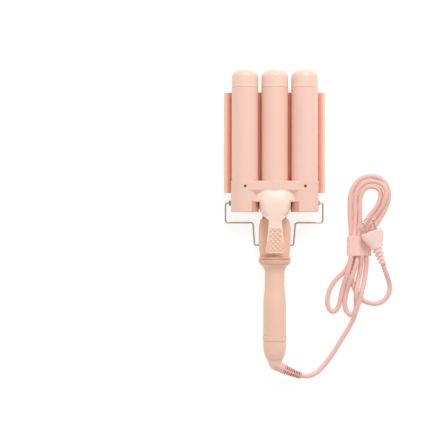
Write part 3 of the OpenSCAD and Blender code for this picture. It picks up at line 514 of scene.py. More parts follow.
def wave_line(out):
    """The plate's line, out below its upper face: troughs, ridges, wings and rolled edges."""
    ridge_x = side_x / 2
    rise = np.sqrt((trough_r + ridge_r) ** 2 - ridge_x**2)
    meet = np.degrees(np.arctan2(ridge_x, rise))
    start = np.array([side_x + trough_r * np.sin(wing), barrel_z - trough_r * np.cos(wing)])
    reach = plate_high[0] - roll_r * (1 + np.sin(wing)) - start[0]
    roll = start + reach * np.array([1, np.tan(wing)]) + roll_r * np.array([np.sin(wing), -np.cos(wing)])
    half = np.concatenate([
        arc((0, barrel_z), trough_r + out, -90, -90 + meet, 20)[:-1],
        arc((ridge_x, barrel_z - rise), ridge_r - out, 90 + meet, 90 - meet, 16)[:-1],
        arc((side_x, barrel_z), trough_r + out, -90 - meet, -90 + np.degrees(wing), 30),
        arc(roll, roll_r - out, 90 + np.degrees(wing), -20, 14),
    ])
    return np.concatenate([half[:0:-1] * [-1, 1], half])


plate_section = np.concatenate([wave_line(0), wave_line(plate_t)[::-1]])
carried("corrugated_plate", "handle", PLATE, plate_section, plate_low[1], plate_high[1], 0.35,
        replaces=["wave_plate"], slot="rose_plate")

# %% [markdown]
# ## Sockets of the front jaw
# The three barrels sit in moulded sockets. A socket is a section swept over an arc: the side sockets close
# behind the barrel, the middle one is an open band. The lower halves are separate mouldings, so the arcs stop
# at the split and leave a hairline. A screw sinks into each side socket; its hole is a dimple in the
# surface, which needs grid lines close together only around it.

# %% Sockets
socket_high = span("front_housing")[1]
socket_y0, socket_y1 = span("front_housing")[0][1], socket_high[1]
socket_r = socket_high[0] - side_x
socket_bore = barrel_r + 0.05
split_z = span("socket_base_right")[1][2]
split = np.degrees(np.arcsin((barrel_z - split_z) / socket_r))
base_y1 = span("socket_base_right")[1][1]
screw_y = span("barrel_screws")[0][1] + 1.5
hole_r, hole_deep = 1.75, 0.75
pocket_turn, pocket_deep, pocket_y1 = 27.5, 0.6, socket_y1 - 25.6
socket_floor, pole_r, band_long = 5, 0.01, 11.5


def closer(values, at, reach, step):
    """Grid lines with extra ones every step within reach of a place."""
    return np.unique(np.round(np.concatenate([values, np.arange(at - reach, at + reach, step)]), 4))


def socket_line(y0, y1, closed_end):
    """Closed section of a socket in radius and Y; a closed end has a floor across the bore."""
    outside, mouth = [[socket_r, y0], [socket_r, y1]], [[socket_bore, y1]]
    if closed_end:
        floor_y = y0 + socket_floor
        corners = [[pole_r, y0]] + outside + mouth + [[socket_bore, floor_y], [pole_r, floor_y]]
        return soft(corners, [0.001, 1.5, 0.5, 0.2, 0.4, 0.001], 7, closed=True)
    return soft([[socket_bore, y0]] + outside + mouth, [0.2, 0.5, 0.5, 0.2], 7, closed=True)


def socket(name, x, y0, y1, a0, a1, closed_end, replaced, drilled=False):
    """The section over an arc; where drilled, a screw hole sinks and the side near the dome has a pocket, whose
    faces are painted darker as shade.
    """
    line = socket_line(y0, y1, closed_end)
    angles = np.linspace(a0, a1, 97)
    if drilled:
        angles = closer(closer(angles, 90, 8, 0.7), 90 + np.sign(x) * pocket_turn, 1, 0.25)
        cuts = closer(closer(np.linspace(y0 + 3, y1 - 3, 20), screw_y, 3, 0.24), pocket_y1, 0.6, 0.12)
        outer = np.flatnonzero(np.abs(line[:, 0] - socket_r) < 1e-9)
        first, last = outer.min(), outer.max()
        filled = np.stack([np.full(len(cuts), socket_r), cuts], axis=1)
        line = np.concatenate([line[: first + 2], filled, line[last - 1 :]])
    points = spun(line, (x, barrel_z), np.radians(angles))
    if drilled:
        away = np.hypot(points[..., 0] - x, points[..., 1] - screw_y)
        inwards = step_up((angles[None, :] - 90) * np.sign(x), pocket_turn - 0.4, pocket_turn + 0.4)
        sunk = pocket_deep * inwards * (1 - step_up(points[..., 1], pocket_y1 - 0.2, pocket_y1 + 0.2))
        radius = np.minimum(line[:, :1], socket_r - sunk)
        points[..., 0] = x + radius * np.cos(np.radians(angles))
        points[..., 2] = barrel_z + radius * np.sin(np.radians(angles))
        top = (line[:, 0] > socket_r - 0.01)[:, None]
        hole = hole_deep * (1 - step_up(away, hole_r - 0.3, hole_r + 0.3))
        points[..., 2] -= top * hole * (points[..., 2] > barrel_z)
    made = surface(name, "barrel_jaw", HOUSING, points.transpose(1, 0, 2), ends=True, replaces=replaced,
                   slot="pink_housing")
    if drilled:
        edge_x = socket_r * np.sin(np.radians(pocket_turn))
        # The pocket's faces get the darker tone: painted shade of the wing that overhangs them.
        mark(made, POCKET_SHADE, lambda at: ((x - at[:, 0]) * np.sign(x) > edge_x) & (at[:, 1] < pocket_y1)
             & (at[:, 2] > barrel_z))


gap = 0.25
over = (-split + gap, 180 + split - gap)
beneath = (180 + split + gap, 360 - split - gap)
for side, x in BARRELS.items():
    if side == "middle":
        socket("socket_band_middle", x, socket_y1 - band_long, socket_y1, *over, False, [])
    else:
        socket("socket_top_" + side, x, socket_y0, socket_y1, *over, True, ["front_housing"], drilled=True)
        socket("socket_bottom_" + side, x, socket_y0, base_y1, *beneath, True, ["socket_base_" + side])
print("socket radius", round(socket_r, 2), "split at", round(split, 1), "degrees")

# %% [markdown]
# ## Band, web and dome
# A flat band ties the three sockets together, and behind it the moulding swells into a broad dome over the
# hinge, like the skin between two fingers. All of it is one height field: for each X and Y it takes the soft
# maximum of the sockets' own cylinders, the band and the dome's flanks, which leaves fillets where they meet.

# %% One height field for the front of the jaw
dome_y, dome_z, dome_r = 11.0, 26.0, span("lever")[1][0]
web_y0, band_y0 = socket_y1 - 26.0, socket_y1 - 11.0
band_z = barrel_z + 16.2
crown_z = dome_z + dome_r


def over_sockets(x):
    """Height of the outer sockets' cylinders at x, a hair low so that they show where they are highest."""
    near = np.abs(np.abs(x) - side_x)
    return barrel_z + np.sqrt(np.maximum(socket_r**2 - near**2, 0.0)) - 0.12


def flank(x, y):
    """The dome's flanks: crown_z less a cube in X and, towards the tips, a square in Y."""
    return crown_z - 0.00066 * np.abs(x) ** 3 - 0.0146 * np.maximum(y - dome_y, 0) ** 2


def front_height(x, y):
    """Soft maximum of the sockets, the flat band and the dome's flanks."""
    band = band_z - 9 * step_up(band_y0 - y, -0.5, 9)
    return blend_up(over_sockets(x), flank(x, y), band, soften=0.6)


# %% Web and band
across = np.linspace(-33, 33, 133)
back = np.concatenate([web_y0 + np.array([0, 0.15, 0.4, 0.8, 1.2]),
                       np.linspace(web_y0 + 2, socket_y1 - 1.5, 56),
                       socket_y1 - 0.1 - np.array([0.9, 0.6, 0.3, 0.1, 0.0])])
gx, gy = np.meshgrid(across, back)


def rounded_fall(depth, radius):
    """Drop of an edge rounded to a radius, at a distance inside it."""
    return radius * (1 - np.sqrt(1 - np.clip(1 - depth / radius, 0, 1) ** 2))


top = front_height(gx, gy) - rounded_fall(gy - web_y0, 0.9) - rounded_fall(socket_y1 - 0.1 - gy, 0.9)
top = top - 3.0 * (1 - step_up(np.abs(gx), 16, 22)) * (1 - step_up(gy, web_y0 + 5, web_y0 + 10))
web_top = np.stack([gx, gy, top], axis=-1)
web_low = np.stack([gx, gy, np.full_like(gx, barrel_z + 6)], axis=-1)
surface("jaw_web", "barrel_jaw", HOUSING, np.concatenate([web_top, web_low[:, ::-1]], axis=1), ends=True,
        slot="pink_housing")

# %% [markdown]
# ## Dome and thumb lever
# The hinge cover and the lever are one pale moulding. It is a loft of closed rings along Y: wings that lie on
# the web, then the dome, which is a circle from above and a squarish superellipse across, then a tongue
# that flares to its end. Where two stretches meet, their widths are blended and not cut.

# %% Dome and lever
lever_low = span("lever")[0]
lever_top, lever_t = span("thumb_pad")[1][2] - 0.6, 3.2
wing_y = web_y0 + 0.05
dome_floor, wing_root = 17.0, 28.6
stations = np.concatenate([lever_low[1] + np.array([0, 0.05, 0.2, 0.45, 0.8, 1.3]),
                           np.linspace(lever_low[1] + 2, -9, 60), np.linspace(-8.7, -3, 40),
                           np.linspace(-2.6, web_y0 - 0.02, 50), np.linspace(wing_y, band_y0 - 1.2, 26),
                           band_y0 - np.array([0.9, 0.6, 0.35, 0.15, 0.05])])


def lever_half_width(y):
    """Half width of the tongue: narrow at its root, wider to the end, with soft corners there."""
    at = [lever_low[1], -43, -40, -35, -29, -17, -7, 0]
    along = np.interp(y, at, [12.2, 12, 11.4, 10.6, 9.8, 8.8, 7.8, 7.5])
    end = np.clip((y - lever_low[1]) / 3.5, 0, 1)
    return along * (1 - 0.28 * (1 - end) ** 2.6)


def wing_half_width(y):
    """Half width of the wings: wide at their free edge, drawn in, then narrowing under the band."""
    at = [15.2, 15.9, 17.5, 21, 25.5, 28.3, 29.6, 30.2]
    return np.interp(y, at, [wing_root, 26.6, 25.3, 24.2, 22.3, 18.6, 15, 12.5])


def shoulder(x, half, power):
    """Share of its height that a section keeps at x: (1 - |x / half|^p)^(1/p)."""
    return np.maximum(1 - np.abs(x / half) ** power, 0) ** (1 / power)


def lever_sections():
    """Section rings of the wings, the dome and the lever, one for each station."""
    y = stations[:, None]
    a = circle(200)[None, :]
    c, s = np.cos(a), np.sin(a)
    u = squared_off(c, 0.62)
    plan = np.sqrt(np.maximum(dome_r**2 - (y - dome_y) ** 2, 1e-6))
    half = np.where(y > 2, plan, blend_up(plan, lever_half_width(y), soften=1.0))
    is_dome = step_up(y, -7.6, -2.4)
    end = np.clip((y - lever_low[1]) / 1.6, 0, 1)
    skirt = step_up(y, -5.2, -1.6)
    low = (lever_top - lever_t + 0.9 * (1 - end)) * (1 - skirt) + dome_floor * skirt
    middle = (lever_top - 1.3) * (1 - skirt) + dome_z * skirt
    power = 5.0 * (1 - is_dome) + (3.4 + 2.1 * step_up(y, -2, 10) + 8 * step_up(y, 9, 15.2)) * is_dome
    join = step_up(y, 8, 15)
    share = squared_off(c, 2 / power) * (1 - join) + np.clip(u * wing_root / half, -1, 1) * join
    x = half * share
    crown = lever_top + (flank(x, y) + 0.1 - lever_top) * step_up(y, -11, 4)
    crown = crown - 1.5 * (1 - np.sqrt(1 - (1 - end) ** 2))
    rise = (crown - middle) * shoulder(x, half, power)
    down = (middle - low) * np.abs(s) ** 0.25
    body = np.stack([x, y + 0 * x, middle + np.where(s >= 0, rise, -down)], axis=-1)
    wing_x = u * wing_half_width(y)
    skin = front_height(wing_x, y) + 0.15 * (1 - np.abs(u) ** 10) * step_up(band_y0 - y, 0, 1.0) - 0.05
    beside = np.minimum((crown_z - dome_z) * (1 - shoulder(wing_x, dome_r - 0.5, 13.5)), 1.0)
    beside = beside * (1 - step_up(y, web_y0, web_y0 + 3)) * (1 - step_up(np.abs(wing_x), dome_r, dome_r + 2))
    skin = skin - beside - rounded_fall(y - wing_y, 0.8) * step_up(np.abs(wing_x), 16, 20)
    wings = np.stack([wing_x, y + 0 * wing_x, np.where(s >= 0, skin, skin - 1.0)], axis=-1)
    return np.where((y < web_y0)[..., None], body, wings)


surface("dome_and_lever", "barrel_jaw", LEVER, lever_sections(), ends=True, replaces=["lever"],
        slot="pale_lever")

# %% [markdown]
# ## Thumb pad
# A soft insert lies in the lever, with raised dots in a staggered pattern. The dots are a periodic bump:
# the distance from each point to the nearest dot of two interleaved square lattices, and a smooth cap over it.

# %% Thumb pad
pad_low, pad_high = span("thumb_pad")
pitch, dot_r, dot_up = 5.8, 1.7, 0.8
pad_extra, pad_margin = 2.8, 1.5


def dots(x, y):
    """Height of the nearest dot: dot_up (1 - (d / dot_r)^2)^(1/2) inside its circle, 0 outside."""
    def nearest(u, v):
        du, dv = (u + pitch / 2) % pitch - pitch / 2, (v + pitch / 2) % pitch - pitch / 2
        return np.hypot(du, dv)

    d = np.minimum(nearest(x, y), nearest(x + pitch / 2, y + pitch / 2))
    return dot_up * np.sqrt(np.clip(1 - (d / dot_r) ** 2, 0, 1))


u, v = np.meshgrid(np.linspace(-1, 1, 120), np.linspace(0, 1, 160))
pad_y = pad_low[1] - pad_extra + v * (pad_high[1] - pad_low[1] + pad_extra)
pad_half = lever_half_width(pad_y) - pad_margin
pad_x = u * pad_half
border = np.minimum((1 - np.abs(u)) * pad_half, np.minimum(v, 1 - v) * (pad_high[1] - pad_low[1]))
swell = 0.5 * np.sqrt(np.clip(1 - (1 - np.clip(border / 1.2, 0, 1)) ** 2, 0, 1))
pad_z = lever_top - 0.35 + swell + dots(pad_x, pad_y - pad_low[1]) * step_up(border, 0.5, 1.2)
pad_top = np.stack([pad_x, pad_y, pad_z], axis=-1)
pad_under = pad_top * [1, 1, 0] + [0, 0, lever_top - 0.6]
surface("dotted_pad", "barrel_jaw", PAD, np.concatenate([pad_top, pad_under[:, ::-1]], axis=1), ends=True,
        replaces=["thumb_pad"], slot="tan_pad")

# %% Ears of the lever's end: two thin lips that rise and curl outwards at the corners
LIP = np.array([[9.4, -31, -0.7], [9.9, -35, 0.1], [10.4, -38.5, 0.3], [10.9, -42, 0.4], [11.5, -44.6, 0.5],
                [12.0, -46.4, 0.4], [12.4, -47.6, -0.3]])
for tag, side in SIDES.items():
    lip = flowing(LIP * [side, 1, 1] + [0, 0, lever_top - 0.6], 8)
    swept("lever_lip_" + tag, "barrel_jaw", PAD, lip, 0.75, 14, slot="pale_lever")

# %% [markdown]
# ## Neck, collar and handle
# Behind the hinge the fixed side is one long turned form. Where it is not round, its radius depends on the
# angle too: a plane at height h above the axis is r = h / sin a, and the smaller of the two radii wins. The
# neck has a flat channel under the lever this way, and the grip has a flat control panel on its back.

# %% Neck
AXIS = (0.0, 20.0)
channel_up, back_drop = 6.0, 16.2
neck_line = flowing([[17.0, -5.4], [17.9, -7.6], [18.8, -11.3], [19.7, -18.3], [19.7, -37.3], [18.9, -44.3],
                     [18.1, -51.8]], 8)


def faced(radius, angle, height, soften=0.5):
    """Soft minimum of a radius and of the plane that lies so far above (or, negative, below) the axis."""
    towards = np.maximum(np.sin(angle) * np.sign(height), 1e-3)
    plane = np.minimum(abs(height) / towards, 60.0)
    return -blend_up(-radius, -plane, soften=soften)


def around_axis(r, y, a):
    """Point = axis + (r cos a, y, r sin a), with a radius for each place and angle of a grid."""
    return np.stack([AXIS[0] + r * np.cos(a), y, AXIS[1] + r * np.sin(a)], axis=-1)


ring_y, ring_a = np.meshgrid(neck_line[:, 1], circle(160), indexing="ij")
neck_r = faced(faced(neck_line[:, :1], ring_a, channel_up), ring_a, -back_drop)
surface("neck_shell", "handle", NECK, around_axis(neck_r, ring_y, ring_a), ends=True, replaces=["neck_cover"],
        slot="tan_neck")

# %% Collar ring, with the hairline between its two bevels
collar = [[0, -51.9], [18.6, -51.9], [19.8, -53.0], [19.9, -54.2], [18.7, -54.5], [18.7, -55.2], [20.0, -55.6],
          [19.4, -60.0], [18.2, -60.9], [0, -60.9]]
collar = soft(collar, [0, 0.4, 0.6, 0.3, 0.15, 0.15, 0.4, 0.9, 0.4, 0], 6)
# The collar wears the darkened grip tone as painted shade.
turned("collar", "handle", COLLAR_SHADED, collar, AXIS, 128, replaces=["collar_ring"], slot="peach_grip")

# %% [markdown]
# ## Grip with its control panel
# The grip is turned from one flowing line. On its back a flat facet carries three buttons and the window. The
# facet fades in and out along Y. A narrow moat is sunk around each button and a shallow well under it. Those
# need grid lines close together, so the grid is finer there than on the rest of the grip.

# %% Grip
flange = 0.4
key_box = {key: span(key + "_button") for key in ("power", "warmer", "cooler")}
key_y = {key: (low[1] + high[1]) / 2 for key, (low, high) in key_box.items()}
key_r = {key: high[0] - flange for key, (low, high) in key_box.items()}
window_low, window_high = span("display_window")
panel_y0, panel_y1, panel_drop = key_y["cooler"] - 6, window_high[1] + 3, 12.95
grip_line = flowing([[18.2, -61.0], [15.6, -63.6], [13.6, -66.6], [12.3, -71.0], [12.2, -80.0], [12.4, -91.0],
                     [12.95, -97.0], [13.6, -104.0], [14.1, -112.4], [14.15, -125.0], [14.15, -149.4]], 10)


def grip_radius(y, a):
    """The line's radius, with the facet on the back, a well and a moat at each button and hairline sides."""
    r = np.interp(y, grip_line[::-1, 1], grip_line[::-1, 0])
    on_panel = step_up(y, panel_y0 - 1.5, panel_y0 + 1) * (1 - step_up(y, panel_y1 - 1, panel_y1 + 1.5))
    flat = faced(r, a, -panel_drop, 0.12)
    r = r + (flat - r) * on_panel
    x = r * np.cos(a)
    for key in key_y:
        away = np.hypot(x, y - key_y[key]) - key_r[key]
        moat = 0.55 * step_up(away, -0.25, 0.05) * (1 - step_up(away, 0.4, 0.75))
        r = r - (moat + 1.2 * (1 - step_up(away, -2.0, -1.2))) * (np.sin(a) < 0)
    side = np.abs(np.sin(a)) * r
    return r - 0.16 * np.clip(1 - side / 0.22, 0, 1)


fine_y = np.arange(panel_y0 - 2, panel_y1 + 2, 0.3)
rows = np.unique(np.concatenate([grip_line[:, 1], fine_y]))
spread = np.degrees(np.arcsin(6 / 13.0))
cols = np.unique(np.concatenate([np.arange(0, 360, 3.0), np.arange(270 - spread, 270 + spread, 1.1),
                                 [0.5, 1.0, 179, 179.5, 180.5, 181, 359, 359.5]]))
ring_y, ring_a = np.meshgrid(rows, np.radians(cols), indexing="ij")
grip = around_axis(grip_radius(ring_y, ring_a), ring_y, ring_a)
surface("grip_shell", "handle", GRIP, grip, ends=True, replaces=["grip_front", "grip_back"], slot="peach_grip")

# %% Trim ring and end cap
(_, ring_y0, _), (ring_r, ring_y1, _) = span("trim_ring")
ring_line = [[0, ring_y1], [ring_r, ring_y1], [ring_r, ring_y0 + 1.2], [ring_r - 0.35, ring_y0], [0, ring_y0]]
ring_line = soft(ring_line, [0, 0.5, 0.6, 0.2, 0], 6)
turned("handle_ring", "handle", GRIP, ring_line, AXIS, 128, replaces=["trim_ring"], slot="peach_grip")
cap_bulge = flowing([[14.1, -155.8], [14.1, -163], [13.6, -168.5], [12.5, -172.8], [11.3, -176],
                     [10.45, -178.3]], 8)
cap_line = np.concatenate([[[0, -155.7]], cap_bulge, [[10.1, -178.5], [0, -178.5]]])
turned("handle_cap", "handle", GRIP, cap_line, AXIS, 128, replaces=["end_cap"], slot="peach_grip")

# %% [markdown]
# ## Buttons and window on the back
# Buttons are turned about an upright axis: a straight skirt, a soft edge and a slightly hollow face for the
# fingertip. The power button stands alone; the two heat buttons carry a raised plus and minus sign.

# %% Buttons
BUTTON = moulded("button_plastic", colour(250, 232, 224), gloss=0.3, clouds=0.02, coat=0.3)
smoked = Finish("smoked_window", Coat_Weight=0.6)
cloud = smoked.noise(300)
tint = smoked.mix(cloud, colour(50, 40, 38), colour(66, 54, 52))
WINDOW = smoked.set(Base_Color=tint, Roughness=cloud * 0.08 + 0.08)


def spun_upright(line, x, y, count):
    """Point = (x + r cos a, y + r sin a, z) for each (r, z) of the line."""
    a = circle(count)
    px = x + line[:, :1] * np.cos(a)
    py = y + line[:, :1] * np.sin(a)
    return np.stack([px, py, np.broadcast_to(line[:, 1:], px.shape)], axis=-1)


for key, y in key_y.items():
    r, z0, z1 = key_r[key], key_box[key][0][2], key_box[key][1][2]
    line = [[0, z0 + 0.35], [r * 0.6, z0 + 0.2], [r, z0], [r, z1], [0, z1]]
    line = soft(line, [0, 0.6, 0.45, 0.2, 0], 7)
    surface(key + "_key_cap", key + "_key", BUTTON, spun_upright(line, 0, y, 64), replaces=[key + "_button"],
            slot="button_white")


def bar(name, body, finish, half, centre, rim=0.12, **told):
    """A small bar with soft edges: a rounded rectangle in X and Z carried along Y."""
    a, c = half[0], half[2]
    rect = soft([[-a, -c], [a, -c], [a, c], [-a, c]], rim, 5, closed=True) + [centre[0], centre[2]]
    carried(name, body, finish, rect, centre[1] - half[1], centre[1] + half[1], rim, **told)


face_z = key_box["warmer"][0][2] + 0.28
for key in ("warmer", "cooler"):
    bar(key + "_sign_bar", key + "_key", PAD, (1.1, 0.22, 0.28), (0, key_y[key], face_z), slot="tan_pad")
bar("warmer_sign_post", "warmer_key", PAD, (0.22, 1.1, 0.27), (0, key_y["warmer"], face_z), slot="tan_pad")
middle = (window_low + window_high) / 2
frame_half = (window_high - window_low) / 2
bar("window_pane", "handle", WINDOW, frame_half - [0.1, 0.1, 0.1], middle - [0, 0, 0.12], 0.3,
    replaces=["display_window"], slot="smoked_window")

# %% [markdown]
# ## Swivel and strain relief
# The cord leaves through a swivel that turns in the end cap and tapers like a soft boot. Its relief is a
# sleeve, cut into ribs on both sides so that it can bend, with a spine left between the cuts. The sleeve is
# tapered too, so a straight cone would do for its body, but the real one sags, and it is swept along a gentle
# curve, and its radius is a product: taper x a smooth comb along the length x a mask round the ring.

# %% Swivel
ball_line = flowing([[9.8, -178.7], [9.0, -180.3], [8.2, -182.2], [7.5, -184.4], [6.6, -186.6], [5.2, -188.8],
                     [3.0, -190.6], [0, -191.4]], 8)
ball_line = np.concatenate([[[0, -178.6], [9.5, -178.6]], ball_line])
turned("swivel_ball", "cord_swivel", BALL, ball_line, AXIS, 96, replaces=["cord_elbow"], slot="pink_cord")

# %% Strain relief
RIBS = 9
comb_from, comb_long = 0.3, 0.66  # shares of the sleeve's length
relief_start, relief_end = np.array([0.4, -184.7, 19.5]), np.array([32.6, -199.7, 12.3])
sag = np.array([1.2, -1.6, 0.0])
t = np.linspace(0, 1, 300)[:, None]
relief = relief_start + (relief_end - relief_start) * t + sag * 4 * t * (1 - t)
comb_at = np.clip((t[:, 0] - comb_from) / comb_long, 0, 1) * RIBS
comb = np.clip(3 * np.abs(np.sin(np.pi * comb_at)) - 1.2, 0, 1)
comb[(comb_at <= 0) | (comb_at >= RIBS)] = 1
taper = 7.3 - 3.1 * t[:, 0] ** 0.85
taper[0], taper[-1] = 0.5, 2.6
taper[-2] *= 0.93
plain = rings_along(relief, taper[:, None] * np.ones((1, 64)), 64)
off_axis = plain - relief[:, None]
height_share = np.abs(off_axis[..., 2]) / taper[:, None]
cut = (1 - comb[:, None]) * (1 - step_up(height_share, 0.93, 0.99))
ribbed = relief[:, None] + off_axis * (1 - 0.5 * cut)[..., None]
made = surface("cord_sleeve", "cord_swivel", CORD, ribbed, ends=True, replaces=["strain_relief"],
               slot="pink_cord")


def in_a_slit(at):
    """Places within the comb that lie nearer to the sleeve's middle line than 0.8 of its radius there."""
    away = np.linalg.norm(at[:, None] - relief[None], axis=2)
    near = away.argmin(axis=1)
    on_comb = (t[near, 0] > comb_from) & (t[near, 0] < comb_from + comb_long)
    return on_comb & (away.min(axis=1) < 0.8 * taper[near])


# Faces deep in the cuts wear the dark tone: painted shade inside the slits.
mark(made, SLIT_SHADE, in_a_slit)

# %% [markdown]
# ## The cord
# The lead is a 6 mm two-core cable about 1.3 m long. It runs from the relief over the table and up through a
# tie, makes three nested loops above it and two folds and one wide bight below, and ends in its plug. A
# simulation could drop it in a heap, but its way through the tie is deliberate, so the route is written
# down stretch by stretch, in millimetres, with a low hump wherever one strand passes over another.

# %% Cord route
CORD_D = 6.0
LEAD = [(32, -199.4, 12.5), (37.5, -200.5, 11.3), (44.5, -200, 9), (52, -197, 6.2), (58, -192, 4.2),
        (65, -184.5, 3), (70.5, -177, 3), (76, -169, 3), (82, -159, 3), (88, -149.5, 3), (94, -139.5, 3),
        (98.5, -130.5, 4.5), (101, -122.5, 7.8), (103.5, -114, 9.2), (106, -106, 9.2), (108.5, -96, 9.2),
        (111.5, -86.5, 6.2), (113.5, -75.5, 3.4), (115, -64, 3), (115, -53, 3), (115, -44, 3),
        (116, -35.5, 3)]
OUTER_LOOP = [(118.5, -27, 3), (123, -18.5, 3), (129, -9.5, 3), (135, 0, 3), (139.5, 9.5, 3), (143, 20, 3),
              (142.5, 30.5, 3), (138.5, 39.5, 3), (131.5, 45.5, 3), (122.5, 48, 3), (114, 47, 3),
              (106, 43, 3), (99.5, 35, 3), (95.5, 25, 3), (94.5, 14.5, 3), (94.5, 2, 3), (95.5, -11.5, 3),
              (96, -24, 3), (96, -33, 3.4), (96, -41.5, 6.5), (96, -50, 8.9)]
LEFT_FOLD = [(94.5, -59, 9.2), (92.5, -67.5, 9.2), (90, -76.5, 8.2), (87.5, -85, 5), (85, -94, 3),
             (83, -103, 3), (81.5, -111, 3), (78, -118, 3), (73.5, -121, 3), (69, -118, 3),
             (66.5, -110.5, 3), (67, -102, 3), (69.5, -93, 3), (74, -85, 3), (80, -78, 3), (86, -72.5, 3),
             (91, -66.5, 3), (94.5, -59.5, 3), (96.5, -51.5, 3), (98.5, -43, 3), (102, -35, 5),
             (104.5, -27.5, 7.4)]
INNER_LOOP = [(108, -19, 6), (113.5, -10, 3.6), (120, -0.5, 3), (127, 8.5, 3), (132, 18.5, 3),
              (133, 27, 3), (129.5, 32.5, 3), (122, 35, 3), (115, 33.5, 3), (110, 28.5, 3),
              (107.5, 20.5, 3), (107, 10.5, 3), (107, -0.5, 3), (106.5, -11.5, 3), (104, -21.5, 3),
              (102.5, -30.5, 3), (102.5, -40.5, 3), (103, -49, 4.6)]
MIDDLE_FOLD = [(103, -56.5, 7.6), (101.5, -63.5, 9.2), (98.5, -71.5, 9.2), (95.5, -80, 9),
               (92.5, -88.5, 6), (90, -97.5, 3.2), (88.5, -106, 3), (88.5, -114.5, 3), (91, -121.5, 3),
               (95.5, -125, 3), (100, -122.5, 3), (102.5, -116, 3), (102, -108.5, 6.4),
               (101.5, -100.5, 9.2), (102.5, -92.5, 8.6), (104, -83.5, 5), (106.5, -74, 3.4),
               (108, -64.5, 3.4), (108.5, -55.5, 5.5), (108.5, -46.5, 6.4), (109, -38, 4), (111, -29, 3)]
SECOND_LOOP = [(115, -20, 3), (120.5, -10.5, 3), (127.5, -1, 3.4), (133.5, 8.5, 6), (137.5, 19, 8.2),
               (139, 28.5, 8.2), (136, 36, 7), (130, 40, 4.2), (122.5, 41.5, 3), (115, 40.5, 3),
               (108.5, 36.5, 3), (103.5, 30, 3), (101.5, 21, 3), (100.5, 10.5, 3), (101, -0.5, 3),
               (100.5, -11.5, 3.6), (100, -21.5, 5.6), (99, -30.5, 8.2), (99, -40.5, 7.4), (100, -49, 5)]
BIGHT = [(100, -56.5, 3), (98.5, -65.5, 3), (97.5, -74, 3), (97.5, -83, 3), (100, -91.5, 3),
         (104, -99.5, 3), (110, -106, 3), (118.5, -110, 3), (127.5, -111, 3), (136, -107.5, 3),
         (142, -100.5, 3), (144.5, -91.5, 3.4), (142.5, -82, 6), (139, -73.5, 10), (134.8, -61.8, 13.8)]
route = np.array(LEAD + OUTER_LOOP + LEFT_FOLD + INNER_LOOP + MIDDLE_FOLD + SECOND_LOOP + BIGHT, float)
route = even(flowing(route), 2.0)
flex = swept("mains_cord", "cord_swivel", CORD, route, CORD_D / 2, 24,
             replaces=["cord_lead", "cord_hank", "cord_tail"], slot="pink_cord")

# %% [markdown]
# ## Tie, plug and blades
# The tie is a soft strap wrapped round six strands, so its section bulges over each of them. The plug is a
# loft again: superellipse sections that narrow from the face to the relief, whose rings are turned.

# %% Tie
tie_low, tie_high = span("cord_tie")


def strap_section(count=96):
    """Rounded wrap over the strands: half width 15.2, top 12.8 on the left falling to 7.8 on the right."""
    middle_x, half_wide, middle_z, drop = 105.6, 15.2, 6.0, 5.7
    bulge, first_strand, strand_pitch = 0.35, 99, 6.2
    a = circle(count)
    c, s = np.cos(a), np.sin(a)
    x = middle_x + half_wide * squared_off(c, 0.62)
    high = 12.8 - 5.0 * step_up(x, 104, 113)
    rise = (high - middle_z) * np.abs(s) ** 0.6
    z = np.where(s >= 0, middle_z + rise, middle_z - drop * np.abs(s) ** 0.45)
    z = z + bulge * np.cos((x - first_strand) / strand_pitch * 2 * np.pi) * (s > 0.2)
    return np.stack([x, z], axis=1)


strap = carried("cord_strap", "cord_swivel", TIE, strap_section(), tie_low[1], tie_high[1], 1.0,
                replaces=["cord_tie"], slot="pink_tie")

# %% Plug, in its own frame: +Y out of its face
plug_at = np.array([119.7, -20.6, 15.7])
yaw, tilt = np.radians(20.2), np.radians(2.5)
PLUG_TURN = (np.array([[np.cos(yaw), -np.sin(yaw), 0], [np.sin(yaw), np.cos(yaw), 0], [0, 0, 1]])
             @ np.array([[1, 0, 0], [0, np.cos(tilt), -np.sin(tilt)], [0, np.sin(tilt), np.cos(tilt)]]))


def at_plug(points):
    """Points of the plug's frame, turned by its tilt and yaw and moved to its place."""
    return points @ PLUG_TURN.T + plug_at


def superellipse_rings(y, half_x, half_z, power, count=64):
    """Rings |x / half_x|^p + |z / half_z|^p = 1 at places along Y."""
    a = circle(count)[None, :]
    c, s = np.cos(a), np.sin(a)
    e = 2 / np.asarray(power, float)[:, None]
    x, z = half_x[:, None] * squared_off(c, e), half_z[:, None] * squared_off(s, e)
    return np.stack([x, np.broadcast_to(y[:, None], x.shape), z], axis=-1)


t = np.concatenate([[0, 0.004, 0.02, 0.05], np.linspace(0.09, 0.93, 40), [0.965, 0.99, 1.0]])
plug_long = 22.0
body_y = -plug_long * t
half_x = np.interp(t, [0, 0.12, 0.3, 0.55, 0.8, 1], [13.6, 14.0, 13.8, 11.2, 8.6, 7.9])
half_z = np.interp(t, [0, 0.12, 0.5, 1], [6.3, 6.5, 6.3, 5.6])
rim = np.interp(t, [0, 0.004, 0.02, 0.05, 0.93, 0.965, 0.99, 1.0], [0.86, 0.92, 0.97, 1, 1, 0.98, 0.93, 0.86])
plug_rings = superellipse_rings(body_y, half_x * rim, half_z * rim, np.interp(t, [0, 1], [3.6, 2.6]))
# The plug and its relief wear the paler copy of the tie's rubber, as painted light.
plug = surface("plug_shell", "cord_swivel", PLUG, at_plug(plug_rings), ends=True, replaces=["plug_body"],
               slot="pink_tie")

